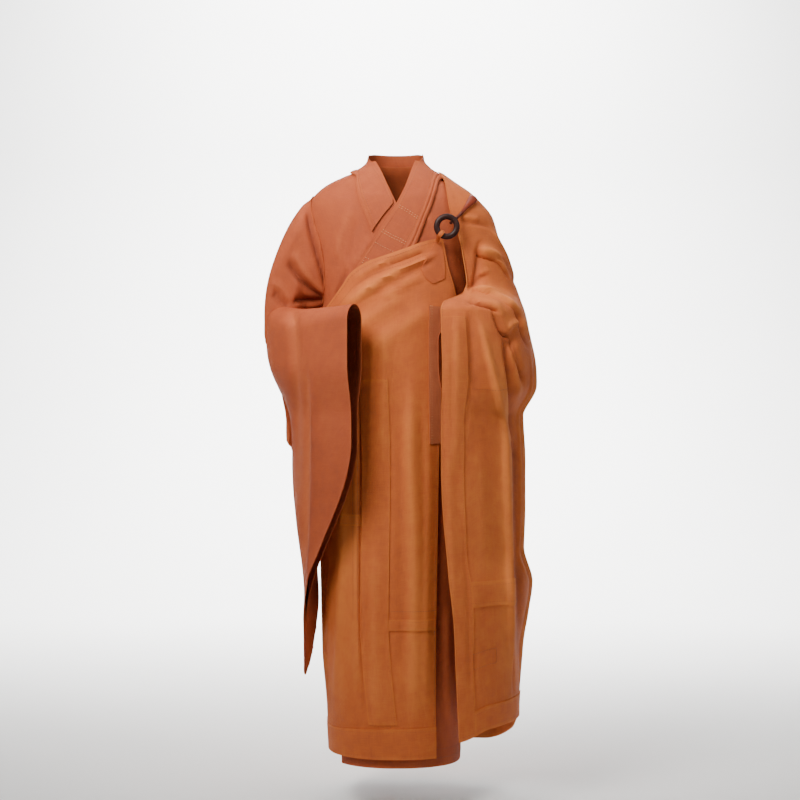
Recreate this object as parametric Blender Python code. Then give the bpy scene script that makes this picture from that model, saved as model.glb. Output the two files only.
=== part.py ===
"""A monk's two-layer robe in its worn, hollow form.

The inner robe is long and cross-collared with very wide sleeves. The wrap is a large pieced
rectangle with sewn borders: it passes under the wearer's right arm, round the back, over the
left shoulder and forearm, and is fastened on the left chest by a tab, a ring and a hook.
Metres, +Z up. The front faces -Y and the wearer's left is +X. The origin is the middle of the
shoulder line, where the wearer holds the garment up. Every wall follows a section table.
"""

import math

import bmesh
import bpy
import numpy as np

# Cloth and seams
CLOTH = 0.002
TRIM_CLOTH = 0.0014
SEAM_GAP = 0.0003
LAYER_AIR = 0.0008

# Heights of the hems below the shoulder line
ROBE_HEM_Z = -1.382
ROBE_OVER_HEM_Z = -1.397
WRAP_HEM_Z = -1.375
HEM_BAND = 0.070

# How far each layer lies outside the figure
OVERLAP_OUT = 0.0055
BAND_OUT = 0.0040
WRAP_OUT = 0.0132

# Plan curves are superellipses of this power
PLAN_POWER = 2.3

# Armholes, as ovals in height and in degrees round the body
ARMHOLE_MIDDLE_Z = -0.195
ARMHOLE_HALF_HEIGHT = 0.125
ARMHOLE_HALF_TURN = 30.0
SLEEVE_LAP_HEIGHT = 0.011
SLEEVE_LAP_TURN = 1.8
SLEEVE_LAP_OUT = 0.0075
LEFT_LAP_SHARE = 0.55
RIGHT_SLEEVE_AROUND = 32
LEFT_SLEEVE_AROUND = 18

# The sleeve's pouch at the elbow ends between these heights
POUCH_FULL_Z = -0.465
POUCH_END_Z = -0.590
# Share of its height from which a loop turns in to its lower fold, and how round that fold is
SLEEVE_LOW_FROM = 0.6
SLEEVE_LOW_ROUNDING = 1.5

# Fastener
RING_CENTRE = (0.115, -0.158, -0.147)
RING_RADIUS = 0.0230
RING_TUBE = 0.0070
RING_SIDES = 24
RING_TUBE_SIDES = 10
TAB_WIDTH = 0.010
TAB_THICK = 0.0015
TAB_ANGLE = 232.0
TAB_ROLLS = (-20.0, -60.0, -100.0, -140.0, -180.0, -220.0, -260.0)
TAB_FOOT = (0.0935, -0.1815)
SNAP_RADIUS = 0.0032
SNAP_THICK = 0.0016
SNAP_SIDES = 10

KASAYA_COLOUR = (0.52, 0.165, 0.046, 1.0)
ROBE_COLOUR = (0.42, 0.122, 0.044, 1.0)
HORN_COLOUR = (0.030, 0.012, 0.011, 1.0)
SNAP_COLOUR = (0.68, 0.55, 0.42, 1.0)


class Table:
    """A short table with named columns, read as smooth curves of its first column."""

    def __init__(self, columns, rows):
        data = np.array(rows, dtype=float)
        order = np.argsort(data[:, 0])
        self.key = data[order, 0]
        self.columns = {name: data[order, i] for i, name in enumerate(columns)}

    def at(self, name, where):
        """Read a column with a cubic through the rows that never overshoots them."""
        key, value = self.key, self.columns[name]
        where = np.clip(np.asarray(where, dtype=float), key[0], key[-1])
        step = np.diff(key)
        rise = np.diff(value) / step
        slope = np.zeros(len(key))
        slope[0], slope[-1] = rise[0], rise[-1]
        same_way = rise[:-1] * rise[1:] > 0
        mean = 2.0 * rise[:-1] * rise[1:] / np.where(same_way, rise[:-1] + rise[1:], 1.0)
        slope[1:-1] = np.where(same_way, mean, 0.0)
        i = np.clip(np.searchsorted(key, where) - 1, 0, len(step) - 1)
        t = (where - key[i]) / step[i]
        near = (1 + 2 * t) * (1 - t) ** 2 * value[i] + t * (1 - t) ** 2 * step[i] * slope[i]
        far = t * t * (3 - 2 * t) * value[i + 1] + t * t * (t - 1) * step[i] * slope[i + 1]
        return near + far


# The general figure under the robe, a row for each height
BODY = Table(
    ("z", "right", "left", "front", "back"),
    (
        (0.045, 0.061, 0.055, 0.044, 0.054),
        (0.020, 0.068, 0.062, 0.053, 0.061),
        (0.000, 0.090, 0.080, 0.066, 0.072),
        (-0.012, 0.121, 0.096, 0.077, 0.082),
        (-0.036, 0.170, 0.133, 0.092, 0.098),
        (-0.057, 0.195, 0.163, 0.102, 0.108),
        (-0.075, 0.208, 0.180, 0.110, 0.115),
        (-0.110, 0.216, 0.198, 0.118, 0.123),
        (-0.175, 0.206, 0.199, 0.125, 0.130),
        (-0.250, 0.190, 0.188, 0.129, 0.131),
        (-0.320, 0.178, 0.180, 0.132, 0.128),
        (-0.450, 0.170, 0.172, 0.138, 0.126),
        (-0.650, 0.168, 0.170, 0.144, 0.132),
        (-0.900, 0.165, 0.166, 0.149, 0.142),
        (-1.150, 0.158, 0.160, 0.151, 0.150),
        (-1.400, 0.145, 0.150, 0.151, 0.152),
    ),
)

# The wrap's left side hangs from the shoulder and the forearm, clear of the figure
DRAPE = Table(
    ("z", "left", "front", "back", "edge_x"),
    (
        (-0.008, 0.107, 0.087, 0.093, 0.096),
        (-0.036, 0.148, 0.106, 0.113, 0.112),
        (-0.057, 0.178, 0.117, 0.124, 0.115),
        (-0.075, 0.196, 0.125, 0.131, 0.117),
        (-0.110, 0.225, 0.134, 0.139, 0.123),
        (-0.158, 0.240, 0.142, 0.145, 0.140),
        (-0.218, 0.262, 0.147, 0.148, 0.150),
        (-0.280, 0.283, 0.152, 0.147, 0.158),
        (-0.300, 0.290, 0.166, 0.146, 0.153),
        (-0.316, 0.295, 0.212, 0.145, 0.128),
        (-0.328, 0.299, 0.246, 0.144, 0.104),
        (-0.345, 0.304, 0.262, 0.144, 0.098),
        (-0.400, 0.315, 0.269, 0.143, 0.099),
        (-0.470, 0.324, 0.268, 0.143, 0.101),
        (-0.510, 0.323, 0.264, 0.144, 0.101),
        (-0.585, 0.290, 0.259, 0.146, 0.099),
        (-0.700, 0.296, 0.252, 0.150, 0.099),
        (-0.800, 0.296, 0.248, 0.154, 0.103),
        (-0.900, 0.293, 0.246, 0.158, 0.112),
        (-0.985, 0.314, 0.245, 0.162, 0.120),
        (-1.080, 0.304, 0.244, 0.166, 0.128),
        (-1.185, 0.291, 0.243, 0.169, 0.132),
        (-1.390, 0.288, 0.241, 0.171, 0.140),
    ),
)

# Lower edge of the wrap's left side and back, round the body from front to right side
DRAPE_HEM = Table(
    ("turn", "z"),
    (
        (10.0, -1.334),
        (28.0, -1.322),
        (45.0, -1.300),
        (75.0, -1.294),
        (92.0, -1.300),
        (108.0, -1.346),
        (135.0, -1.384),
        (180.0, -1.392),
        (270.0, -1.375),
    ),
)

# Upper edge of the wrap across the back, from the left shoulder to the right underarm
BACK_EDGE = Table(
    ("z", "x"),
    (
        (-0.008, 0.096),
        (-0.036, 0.074),
        (-0.075, 0.044),
        (-0.110, 0.014),
        (-0.158, -0.030),
        (-0.218, -0.085),
        (-0.280, -0.136),
        (-0.350, -0.184),
    ),
)

# Upper edge of the wrap across the chest, from the right side to the tab
CHEST_EDGE = Table(
    ("x", "z"),
    (
        (-0.190, -0.352),
        (-0.165, -0.330),
        (-0.150, -0.312),
        (-0.126, -0.279),
        (-0.109, -0.254),
        (-0.090, -0.239),
        (-0.065, -0.225),
        (-0.018, -0.209),
        (0.023, -0.195),
        (0.058, -0.181),
        (0.095, -0.173),
        (0.107, -0.175),
    ),
)

# Free upright edge of the wrap's front
FRONT_EDGE = Table(
    ("z", "x"),
    (
        (-0.175, 0.107),
        (-0.227, 0.116),
        (-0.315, 0.137),
        (-0.400, 0.124),
        (-0.500, 0.106),
        (-0.650, 0.097),
        (-0.900, 0.092),
        (-1.150, 0.088),
        (-1.375, 0.089),
    ),
)

# Free edges of the robe's two fronts, the right one under the left one
UNDER_EDGE = Table(
    ("z", "x"),
    (
        (0.045, -0.066),
        (0.020, -0.050),
        (-0.047, -0.020),
        (-0.099, 0.004),
        (-0.160, 0.034),
        (-0.220, 0.062),
        (-0.320, 0.084),
        (-1.400, 0.080),
    ),
)
OVER_EDGE = Table(
    ("z", "x"),
    (
        (0.045, 0.056),
        (0.020, 0.043),
        (-0.049, 0.018),
        (-0.100, -0.008),
        (-0.155, -0.043),
        (-0.238, -0.094),
        (-0.320, -0.140),
        (-0.420, -0.150),
        (-1.400, -0.128),
    ),
)

# Collar bands: both edges of each band at stations down the band
COLLAR_COLUMNS = ("inner_x", "inner_z", "outer_x", "outer_z")
RIGHT_COLLAR = (
    (-0.075, 0.036, -0.100, 0.002),
    (-0.056, 0.010, -0.090, -0.018),
    (-0.040, -0.020, -0.086, -0.044),
    (-0.026, -0.047, -0.080, -0.072),
    (-0.015, -0.070, -0.070, -0.098),
    (-0.010, -0.082, -0.060, -0.124),
    (-0.010, -0.090, -0.052, -0.146),
)
LEFT_COLLAR = (
    (0.065, 0.042, 0.090, 0.000),
    (0.048, 0.020, 0.080, -0.020),
    (0.036, -0.016, 0.074, -0.050),
    (0.024, -0.049, 0.064, -0.084),
    (0.012, -0.074, 0.056, -0.106),
    (-0.002, -0.100, 0.047, -0.130),
    (-0.019, -0.128, 0.035, -0.160),
    (-0.037, -0.155, 0.021, -0.188),
    (-0.060, -0.193, -0.002, -0.222),
    (-0.088, -0.238, -0.030, -0.264),
    (-0.122, -0.294, -0.068, -0.318),
)
COLLAR_BACK_TOP_Z = 0.040
COLLAR_BACK_LOW_Z = 0.001
COLLAR_BACK_COLUMNS = 13
COLLAR_TUCK = 0.0095
NECK_SEAM_TURN = 89.93
NECK_STATIONS = 2

# The wide sleeves, a row for each loop of cloth from the armhole to the cuff
SLEEVE_COLUMNS = (
    "top_x", "top_y", "top_z", "low_x", "low_y", "low_z", "face", "arm", "mid", "low",
    "lean_from", "lean_to", "tuck",
)
RIGHT_SLEEVE = (
    (-0.226, 0.004, -0.086, -0.216, 0.008, -0.346, 6, 0.076, 0.076, 0.060, -0.10, -0.34, 0.0),
    (-0.252, 0.008, -0.130, -0.222, 0.016, -0.430, 11, 0.080, 0.078, 0.045, -0.14, -0.42, 0.0),
    (-0.270, 0.010, -0.185, -0.228, 0.026, -0.540, 18, 0.078, 0.070, 0.034, -0.30, -0.54, 0.0),
    (-0.278, 0.010, -0.240, -0.232, 0.036, -0.690, 25, 0.074, 0.056, 0.026, -0.38, -0.59, 0.01),
    (-0.274, 0.000, -0.292, -0.233, 0.034, -0.850, 32, 0.068, 0.042, 0.022, -0.42, -0.60, 0.02),
    (-0.260, -0.042, -0.320, -0.232, 0.010, -0.965, 37, 0.062, 0.034, 0.018, -0.44, -0.63, 0.03),
    (-0.230, -0.098, -0.332, -0.229, -0.026, -1.045, 38, 0.056, 0.029, 0.015, -0.46, -0.76, 0.035),
    (-0.190, -0.150, -0.334, -0.224, -0.062, -1.105, 36, 0.050, 0.025, 0.012, -0.50, -0.90, 0.026),
    (-0.142, -0.198, -0.332, -0.218, -0.096, -1.150, 31, 0.044, 0.021, 0.010, -0.58, -1.00, 0.014),
    (-0.096, -0.236, -0.328, -0.214, -0.128, -1.185, 26, 0.038, 0.018, 0.008, -0.64, -1.06, 0.0),
)
LEFT_SLEEVE = (
    (0.200, 0.004, -0.096, 0.205, 0.008, -0.340, 5, 0.070, 0.068, 0.050, -0.12, -0.34, 0.0),
    (0.216, 0.004, -0.136, 0.207, 0.014, -0.420, 10, 0.068, 0.064, 0.034, -0.16, -0.42, 0.0),
    (0.234, 0.004, -0.195, 0.209, 0.016, -0.520, 18, 0.062, 0.054, 0.026, -0.30, -0.52, 0.0),
    (0.246, 0.002, -0.262, 0.212, 0.010, -0.620, 27, 0.054, 0.040, 0.020, -0.34, -0.58, 0.0),
    (0.244, -0.024, -0.328, 0.213, -0.012, -0.720, 37, 0.046, 0.030, 0.016, -0.38, -0.60, 0.0),
    (0.212, -0.090, -0.360, 0.210, -0.052, -0.810, 46, 0.040, 0.024, 0.012, -0.42, -0.64, 0.0),
    (0.166, -0.150, -0.372, 0.200, -0.098, -0.890, 52, 0.036, 0.020, 0.010, -0.46, -0.72, 0.0),
    (0.120, -0.200, -0.378, 0.184, -0.138, -0.950, 58, 0.032, 0.016, 0.008, -0.50, -0.80, 0.0),
)

# Largest folds seen from the front: a soft ridge, or a trough where the height is negative
FOLD_COLUMNS = ("from_x", "from_z", "to_x", "to_z", "width", "height")
CHEST_FOLDS = (
    (-0.135, -0.335, 0.022, -0.240, 0.016, 0.009),
    (-0.105, -0.385, 0.020, -0.300, 0.018, 0.010),
    (-0.080, -0.440, 0.090, -0.330, 0.020, 0.008),
    (-0.150, -0.420, -0.130, -0.900, 0.022, 0.007),
    (0.030, -0.480, 0.045, -1.330, 0.026, 0.008),
    (-0.125, -0.780, -0.118, -1.340, 0.020, 0.007),
)
SLEEVE_FOLDS = (
    (-0.168, -0.292, -0.224, -0.110, 0.016, -0.012),
    (-0.172, -0.300, -0.268, -0.200, 0.017, -0.012),
    (-0.178, -0.305, -0.290, -0.300, 0.014, -0.009),
    (-0.232, -0.330, -0.296, -0.455, 0.018, -0.014),
    (-0.205, -0.560, -0.232, -0.640, 0.018, -0.010),
    (-0.165, -0.400, -0.190, -0.900, 0.024, 0.010),
    (-0.225, -0.720, -0.205, -0.960, 0.018, 0.009),
)
DRAPE_FOLDS = (
    (0.165, -0.175, 0.270, -0.245, 0.015, 0.010),
    (0.178, -0.285, 0.300, -0.400, 0.018, 0.012),
    (0.225, -0.345, 0.270, -0.430, 0.016, -0.014),
    (0.192, -0.350, 0.246, -0.620, 0.020, 0.012),
    (0.246, -0.620, 0.278, -1.290, 0.018, 0.012),
    (0.222, -0.560, 0.286, -0.700, 0.014, -0.016),
    (0.272, -0.560, 0.294, -1.290, 0.010, -0.012),
    (0.150, -0.420, 0.165, -1.180, 0.024, 0.009),
)
BACK_FOLDS = (
    (0.150, -0.120, 0.020, -1.200, 0.028, 0.012),
    (0.195, -0.240, 0.115, -1.330, 0.030, 0.014),
    (0.060, -0.200, -0.080, -1.100, 0.026, 0.010),
    (-0.060, -0.420, -0.125, -1.330, 0.024, 0.009),
    (0.235, -0.420, 0.205, -1.330, 0.026, 0.012),
)

# Heights of the rows of each wall
FRONT_ROWS = (
    0.020, 0.010, 0.002, -0.006, -0.014, -0.024, -0.036, -0.052, -0.0715, -0.084, -0.105,
    -0.145, -0.195, -0.245, -0.285, -0.306, -0.3195, -0.400, -0.560, -0.760, -0.980, -1.200,
)
DRAPE_ROWS = (
    -0.009, -0.020, -0.034, -0.050, -0.068, -0.090, -0.120, -0.155, -0.190, -0.225, -0.260,
    -0.288, -0.304, -0.316, -0.326, -0.338, -0.360, -0.400, -0.440, -0.480, -0.520, -0.555,
    -0.590, -0.650, -0.730, -0.810, -0.890, -0.960, -1.030, -1.110, -1.210, -1.320, -1.390,
)
UNDER_COLUMNS = 11
OVER_COLUMNS = 13
BEHIND_COLUMNS = 14
SHOULDER_ROWS = 13
HEM_BEND_FROM_Z = -0.960
WRAP_ROWS = 19
WRAP_COLUMNS = 18
FALL_COLUMNS = 14
BACK_COLUMNS = 18
BORDER_COLUMNS = 2
BORDER_FROM_ROW = 15
BACK_SLANT_END_Z = -0.350

# The shield patch under the tab, and the folded edge strip that hangs over the front
SHIELD = Table(
    ("z", "left", "right"),
    (
        (-0.178, 0.090, 0.099),
        (-0.205, 0.076, 0.106),
        (-0.242, 0.057, 0.110),
        (-0.262, 0.064, 0.110),
        (-0.277, 0.081, 0.086),
    ),
)
SHIELD_ROWS = 7
SHIELD_COLUMNS = 3
STRIP_TOP_Z = -0.330
STRIP_LOW_Z = -0.648
STRIP_LEFT_X = 0.073
STRIP_RIGHT_X = 0.100
STRIP_ROWS = 10
STRIP_COLUMNS = 2

# The upright band on the wrap's front, open along its right-hand edge
COLUMN_LEFT = Table(
    ("z", "x"),
    (
        (-0.480, -0.086),
        (-0.725, -0.079),
        (-1.057, -0.083),
        (-1.162, -0.077),
        (-1.304, -0.063),
    ),
)
COLUMN_WIDTH = 0.064
COLUMN_TOP_Z = -0.500
COLUMN_LOW_Z = -1.299
COLUMN_ROWS = 12
COLUMN_COLUMNS = 3

# Flat seam bands across the front and the falling end
SEAM_BAND = 0.026
LEFT_SEAM_Z = -0.812
MIDDLE_SEAM_Z = -1.052
FALL_SEAM_ROWS = (27, 28)
FALL_BAND_COLUMNS = 6
LEFT_BAND_X = -0.150
LEFT_BAND_COLUMNS = 4
MIDDLE_BAND_INSET = 0.002
MIDDLE_BAND_COLUMNS = 6

SNAP_HEIGHTS = (-0.492, -0.518, -0.545)
SNAP_INSET = 0.010

HOOK_STATIONS = (
    (0.00, 0.0036, 0.0036),
    (0.20, 0.0038, 0.0034),
    (0.45, 0.0048, 0.0034),
    (0.62, 0.0072, 0.0036),
    (0.80, 0.0100, 0.0040),
    (0.93, 0.0100, 0.0040),
    (1.00, 0.0060, 0.0028),
)
HOOK_SIDES = 10
HOOK_ANGLE = 42.0
HOOK_ROLLS = (165.0, 130.0, 95.0, 55.0)
HOOK_HEAD = (0.1790, -0.0720)


def ease(value):
    """Smooth step from 0 to 1."""
    value = np.clip(value, 0.0, 1.0)
    return value * value * (3.0 - 2.0 * value)


def unit(vectors):
    """Vectors of length 1."""
    length = np.linalg.norm(vectors, axis=-1, keepdims=True)
    return vectors / np.maximum(length, 1e-12)


def plan_point(turn, right, left, front, back):
    """Point of a plan curve; turn 0 is the front, 90 the wearer's left, 180 the back."""
    angle = math.radians(turn)
    across, along = math.sin(angle), math.cos(angle)
    power = 2.0 / PLAN_POWER
    half_width = left if across >= 0 else right
    depth = front if along >= 0 else back
    x = math.copysign(half_width * abs(across) ** power, across)
    y = -math.copysign(depth * abs(along) ** power, along)
    return x, y


def body_point(z, turn, out):
    """Point outside the figure's section at height z."""
    names = ("right", "left", "front", "back")
    x, y = plan_point(turn, *(float(BODY.at(name, z)) + out for name in names))
    return x, y, z


def drape_point(z, turn, out):
    """Point of the wrap where it hangs from the left shoulder and round the back."""
    right = float(BODY.at("right", z)) + WRAP_OUT
    sizes = [right] + [float(DRAPE.at(name, z)) for name in ("left", "front", "back")]
    x, y = plan_point(turn, *(size + out for size in sizes))
    return x, y, z


def turn_at(x, half_width):
    """Degrees round the front of a plan curve at a distance x from the middle."""
    share = min(abs(x) / half_width, 1.0)
    return math.copysign(math.degrees(math.asin(share ** (PLAN_POWER / 2.0))), x)


def front_turn(z, x, out=0.0):
    """Degrees round the figure's front at height z and distance x."""
    side = "left" if x >= 0 else "right"
    return turn_at(x, float(BODY.at(side, z)) + out)


def drape_front_turn(z, x):
    """Degrees round the wrap's left side at the front."""
    return turn_at(x, float(DRAPE.at("left", z)))


def drape_back_turn(z, x):
    """Degrees round the wrap's back, past 90, at distance x."""
    half_width = float(DRAPE.at("left", z)) if x >= 0 else float(BODY.at("right", z)) + WRAP_OUT
    return 180.0 - turn_at(x, half_width)


def normals_of(points, closed=False):
    """Outward directions of a grid whose rows run down and whose columns run to the left."""
    down = np.gradient(points, axis=0)
    if closed:
        across = (np.roll(points, -1, axis=1) - np.roll(points, 1, axis=1)) / 2.0
    else:
        across = np.gradient(points, axis=1)
    return unit(np.cross(down, across))


def fold_heights(points, folds):
    """Height of all folds at each point, as seen from the front or the back."""
    total = np.zeros(points.shape[:2])
    for row in folds:
        fold = dict(zip(FOLD_COLUMNS, row))
        start = np.array((fold["from_x"], fold["from_z"]))
        run = np.array((fold["to_x"], fold["to_z"])) - start
        length = np.linalg.norm(run)
        place = points[:, :, (0, 2)] - start
        along = place @ run / length**2
        aside = np.abs(place[:, :, 0] * run[1] - place[:, :, 1] * run[0]) / length
        ends = ease((along + 0.15) / 0.3) * ease((1.15 - along) / 0.3)
        total += fold["height"] * ends * np.exp(-((aside / fold["width"]) ** 2))
    return total


class Sheet:
    """A grid of cloth points with its outward directions."""

    def __init__(self, points, closed=False, normals=None):
        self.points = np.asarray(points, dtype=float)
        self.closed = closed
        self.normals = normals_of(self.points, closed) if normals is None else normals

    def folded(self, folds, front=True):
        """The sheet with its folds raised on the side that faces the front or the back."""
        facing = -self.normals[:, :, 1] if front else self.normals[:, :, 1]
        lift = fold_heights(self.points, folds) * ease(facing * 2.5)
        return Sheet(self.points + self.normals * lift[:, :, None], self.closed)

    def squared(self, column):
        """The same sheet, with one column's directions turned straight to the side."""
        normals = self.normals.copy()
        normals[:, column, 1] = 0.0
        return Sheet(self.points, self.closed, unit(normals))

    def moved_out(self, distance):
        """The same sheet, further out."""
        return Sheet(self.points + self.normals * distance, self.closed, self.normals)

    def part(self, rows, columns, seams=""):
        """A stretch of the sheet; each named side (t, b, l, r) draws back for its seam."""
        points = self.points[rows[0] : rows[1] + 1, columns[0] : columns[1] + 1].copy()
        normals = self.normals[rows[0] : rows[1] + 1, columns[0] : columns[1] + 1]
        half = SEAM_GAP / 2.0
        if "t" in seams:
            points[0] += unit(points[1] - points[0]) * half
        if "b" in seams:
            points[-1] += unit(points[-2] - points[-1]) * half
        if "l" in seams:
            points[:, 0] += unit(points[:, 1] - points[:, 0]) * half
        if "r" in seams:
            points[:, -1] += unit(points[:, -2] - points[:, -1]) * half
        return Sheet(points, False, normals)


def material(name, colour, roughness, metallic=0.0):
    """A plain surface colour."""
    found = bpy.data.materials.get(name)
    if found:
        return found
    made = bpy.data.materials.new(name)
    made.use_nodes = True
    shader = made.node_tree.nodes["Principled BSDF"]
    shader.inputs["Base Color"].default_value = colour
    shader.inputs["Roughness"].default_value = roughness
    shader.inputs["Metallic"].default_value = metallic
    made.diffuse_color = colour
    return made


def wrap_cloth():
    return material("wrap_cloth", KASAYA_COLOUR, 0.82)


def robe_cloth():
    return material("robe_cloth", ROBE_COLOUR, 0.82)


def dark_horn():
    return material("dark_horn", HORN_COLOUR, 0.18)


def snap_metal():
    return material("snap_metal", SNAP_COLOUR, 0.35, 0.6)


def add_object(name, points, faces, surface):
    """A named object from points and faces."""
    mesh = bpy.data.meshes.new(name)
    mesh.from_pydata([tuple(map(float, point)) for point in points], [], faces)
    shape = bmesh.new()
    shape.from_mesh(mesh)
    bmesh.ops.recalc_face_normals(shape, faces=shape.faces)
    shape.to_mesh(mesh)
    shape.free()
    mesh.materials.append(surface)
    mesh.shade_smooth()
    mesh.set_sharp_from_angle(angle=math.radians(40))
    made = bpy.data.objects.new(name, mesh)
    bpy.context.scene.collection.objects.link(made)
    return made


def wall(name, sheet, surface, thickness=CLOTH):
    """A closed wall of cloth whose inner face is the sheet."""
    rows, columns = sheet.points.shape[:2]
    inner = sheet.points.reshape(-1, 3)
    outer = inner + sheet.normals.reshape(-1, 3) * thickness
    count = rows * columns
    spans = columns if sheet.closed else columns - 1

    def corner(row, column, side):
        return side * count + row * columns + column % columns

    faces = []
    for row in range(rows - 1):
        for column in range(spans):
            here, there = (row, column), (row, column + 1)
            below, across = (row + 1, column), (row + 1, column + 1)
            faces.append([corner(*p, 1) for p in (here, below, across, there)])
            faces.append([corner(*p, 0) for p in (here, there, across, below)])
    for column in range(spans):
        top = [(0, column, 1), (0, column + 1, 1), (0, column + 1, 0), (0, column, 0)]
        low = [(rows - 1, column, 0), (rows - 1, column + 1, 0)]
        low += [(rows - 1, column + 1, 1), (rows - 1, column, 1)]
        faces.append([corner(*p) for p in top])
        faces.append([corner(*p) for p in low])
    if not sheet.closed:
        last = columns - 1
        for row in range(rows - 1):
            left = [(row, 0, 1), (row, 0, 0), (row + 1, 0, 0), (row + 1, 0, 1)]
            right = [(row, last, 0), (row, last, 1), (row + 1, last, 1), (row + 1, last, 0)]
            faces.append([corner(*p) for p in left])
            faces.append([corner(*p) for p in right])
    return add_object(name, np.concatenate((inner, outer)), faces, surface)


def armhole_cut(z):
    """Degrees by which the armhole sets a side edge back at height z."""
    height = (z - ARMHOLE_MIDDLE_Z) / ARMHOLE_HALF_HEIGHT
    return ARMHOLE_HALF_TURN * math.sqrt(max(0.0, 1.0 - height * height))


def overlap_out(turn):
    """How far the left front lies out, from nothing at its side seam."""
    return OVERLAP_OUT * float(ease((90.0 - turn) / 40.0))


def body_rows(turns_at, out_at, columns, hem_z):
    """Grid on the figure between the two edge turns given at each height."""
    grid = []
    for z in FRONT_ROWS + (hem_z,):
        first, last = turns_at(z)
        turns = np.linspace(first, last, columns)
        grid.append([body_point(z, turn, out_at(turn)) for turn in turns])
    return np.array(grid)


def build_robe_body():
    """The robe's back and two crossing fronts, with oval armholes between them."""
    seam = math.degrees(SEAM_GAP / 2.0 / 0.16)

    def right_front(z):
        return -90.0 + armhole_cut(z) + seam, front_turn(z, float(UNDER_EDGE.at("x", z)))

    def left_front(z):
        edge = front_turn(z, float(OVER_EDGE.at("x", z)), OVERLAP_OUT)
        return edge, 90.0 - armhole_cut(z) - seam

    def back(z):
        return 90.0 + armhole_cut(z) + seam, 270.0 - armhole_cut(z) - seam

    under = body_rows(right_front, lambda turn: 0.0, UNDER_COLUMNS, ROBE_HEM_Z)
    wall("robe_front_right", Sheet(under), robe_cloth())
    over = body_rows(left_front, overlap_out, OVER_COLUMNS, ROBE_OVER_HEM_Z)
    wall("robe_front_left", Sheet(over), robe_cloth())
    behind = body_rows(back, lambda turn: 0.0, BEHIND_COLUMNS, ROBE_HEM_Z)
    wall("robe_back", Sheet(behind), robe_cloth())


def collar_grid(stations, shares, out_at):
    """Grid of a collar strip: rows across it, columns along it and closer round the neck."""
    rows = []
    for number, row in enumerate(stations):
        edge = dict(zip(COLLAR_COLUMNS, row))
        turns = [front_turn(edge[f"{name}_z"], edge[f"{name}_x"]) for name in ("inner", "outer")]
        if number == 0:
            turns = [math.copysign(NECK_SEAM_TURN, turn) for turn in turns]
        rows.append((number, turns[0], edge["inner_z"], turns[1], edge["outer_z"]))
    table = Table(("station", "inner_turn", "inner_z", "outer_turn", "outer_z"), rows)
    last = len(stations) - 1
    round_neck = np.linspace(0, NECK_STATIONS, 4 * NECK_STATIONS + 1)
    down_front = np.linspace(NECK_STATIONS, last, 2 * (last - NECK_STATIONS) + 1)[1:]
    places = np.concatenate((round_neck, down_front))
    edge = {name: table.at(name, places) for name in table.columns}
    grid = []
    for share in shares:
        turns = edge["inner_turn"] + (edge["outer_turn"] - edge["inner_turn"]) * share
        heights = edge["inner_z"] + (edge["outer_z"] - edge["inner_z"]) * share
        grid.append([body_point(z, turn, out_at(turn)) for z, turn in zip(heights, turns)])
    grid = np.array(grid)
    return grid if stations[0][0] < 0 else grid[:, ::-1]


def strip_width(stations):
    """Mean width of a collar strip."""
    rows = np.array(stations)
    return float(np.mean(np.linalg.norm(rows[:, 2:] - rows[:, :2], axis=1)))


def build_collar():
    """The collar: a band on each front, the band behind the neck, and the tucks beside them."""

    build_collar_side("right", RIGHT_COLLAR, lambda turn: 0.0, 1)
    build_collar_side("left", LEFT_COLLAR, overlap_out, 2)
    turns = np.linspace(180.0 - NECK_SEAM_TURN, 180.0 + NECK_SEAM_TURN, COLLAR_BACK_COLUMNS)
    heights = np.linspace(COLLAR_BACK_TOP_Z, COLLAR_BACK_LOW_Z, 4)
    behind = Sheet([[body_point(z, turn, 0.0) for turn in turns] for z in heights])
    behind = behind.squared(0).squared(-1)
    wall("robe_collar_back", behind.moved_out(BAND_OUT), robe_cloth())


def build_collar_side(side, stations, out_at, tucks):
    """One front's collar band with the narrow tucks that run beside it."""
    share = COLLAR_TUCK / strip_width(stations)
    shares = (0.0, 0.34, 0.67, 1.0) + tuple(1.0 + share * (n + 1) for n in range(tucks))
    sheet = Sheet(collar_grid(stations, shares, out_at))
    sheet = sheet.squared(0 if side == "right" else -1).moved_out(BAND_OUT)
    columns = (0, sheet.points.shape[1] - 1)
    wall(f"robe_collar_{side}", sheet.part((0, 3), columns, "b"), robe_cloth())
    for number in range(tucks):
        tuck = sheet.part((3 + number, 4 + number), columns, "tb")
        wall(f"robe_collar_tuck_{side}_{number + 1}", tuck, robe_cloth(), TRIM_CLOTH)


def armhole_loop(side, around):
    """First loop of a sleeve, lapped over the armhole's edge."""
    loop = []
    for step in range(around):
        angle = 2.0 * math.pi * step / around
        z = ARMHOLE_MIDDLE_Z
        z += (ARMHOLE_HALF_HEIGHT + SLEEVE_LAP_HEIGHT) * math.cos(angle)
        turn = 90.0 - (ARMHOLE_HALF_TURN + SLEEVE_LAP_TURN) * math.sin(angle)
        out = SLEEVE_LAP_OUT
        if side > 0:
            out += LEFT_LAP_SHARE * overlap_out(turn)
        loop.append(body_point(z, turn * side, out))
    return loop


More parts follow.
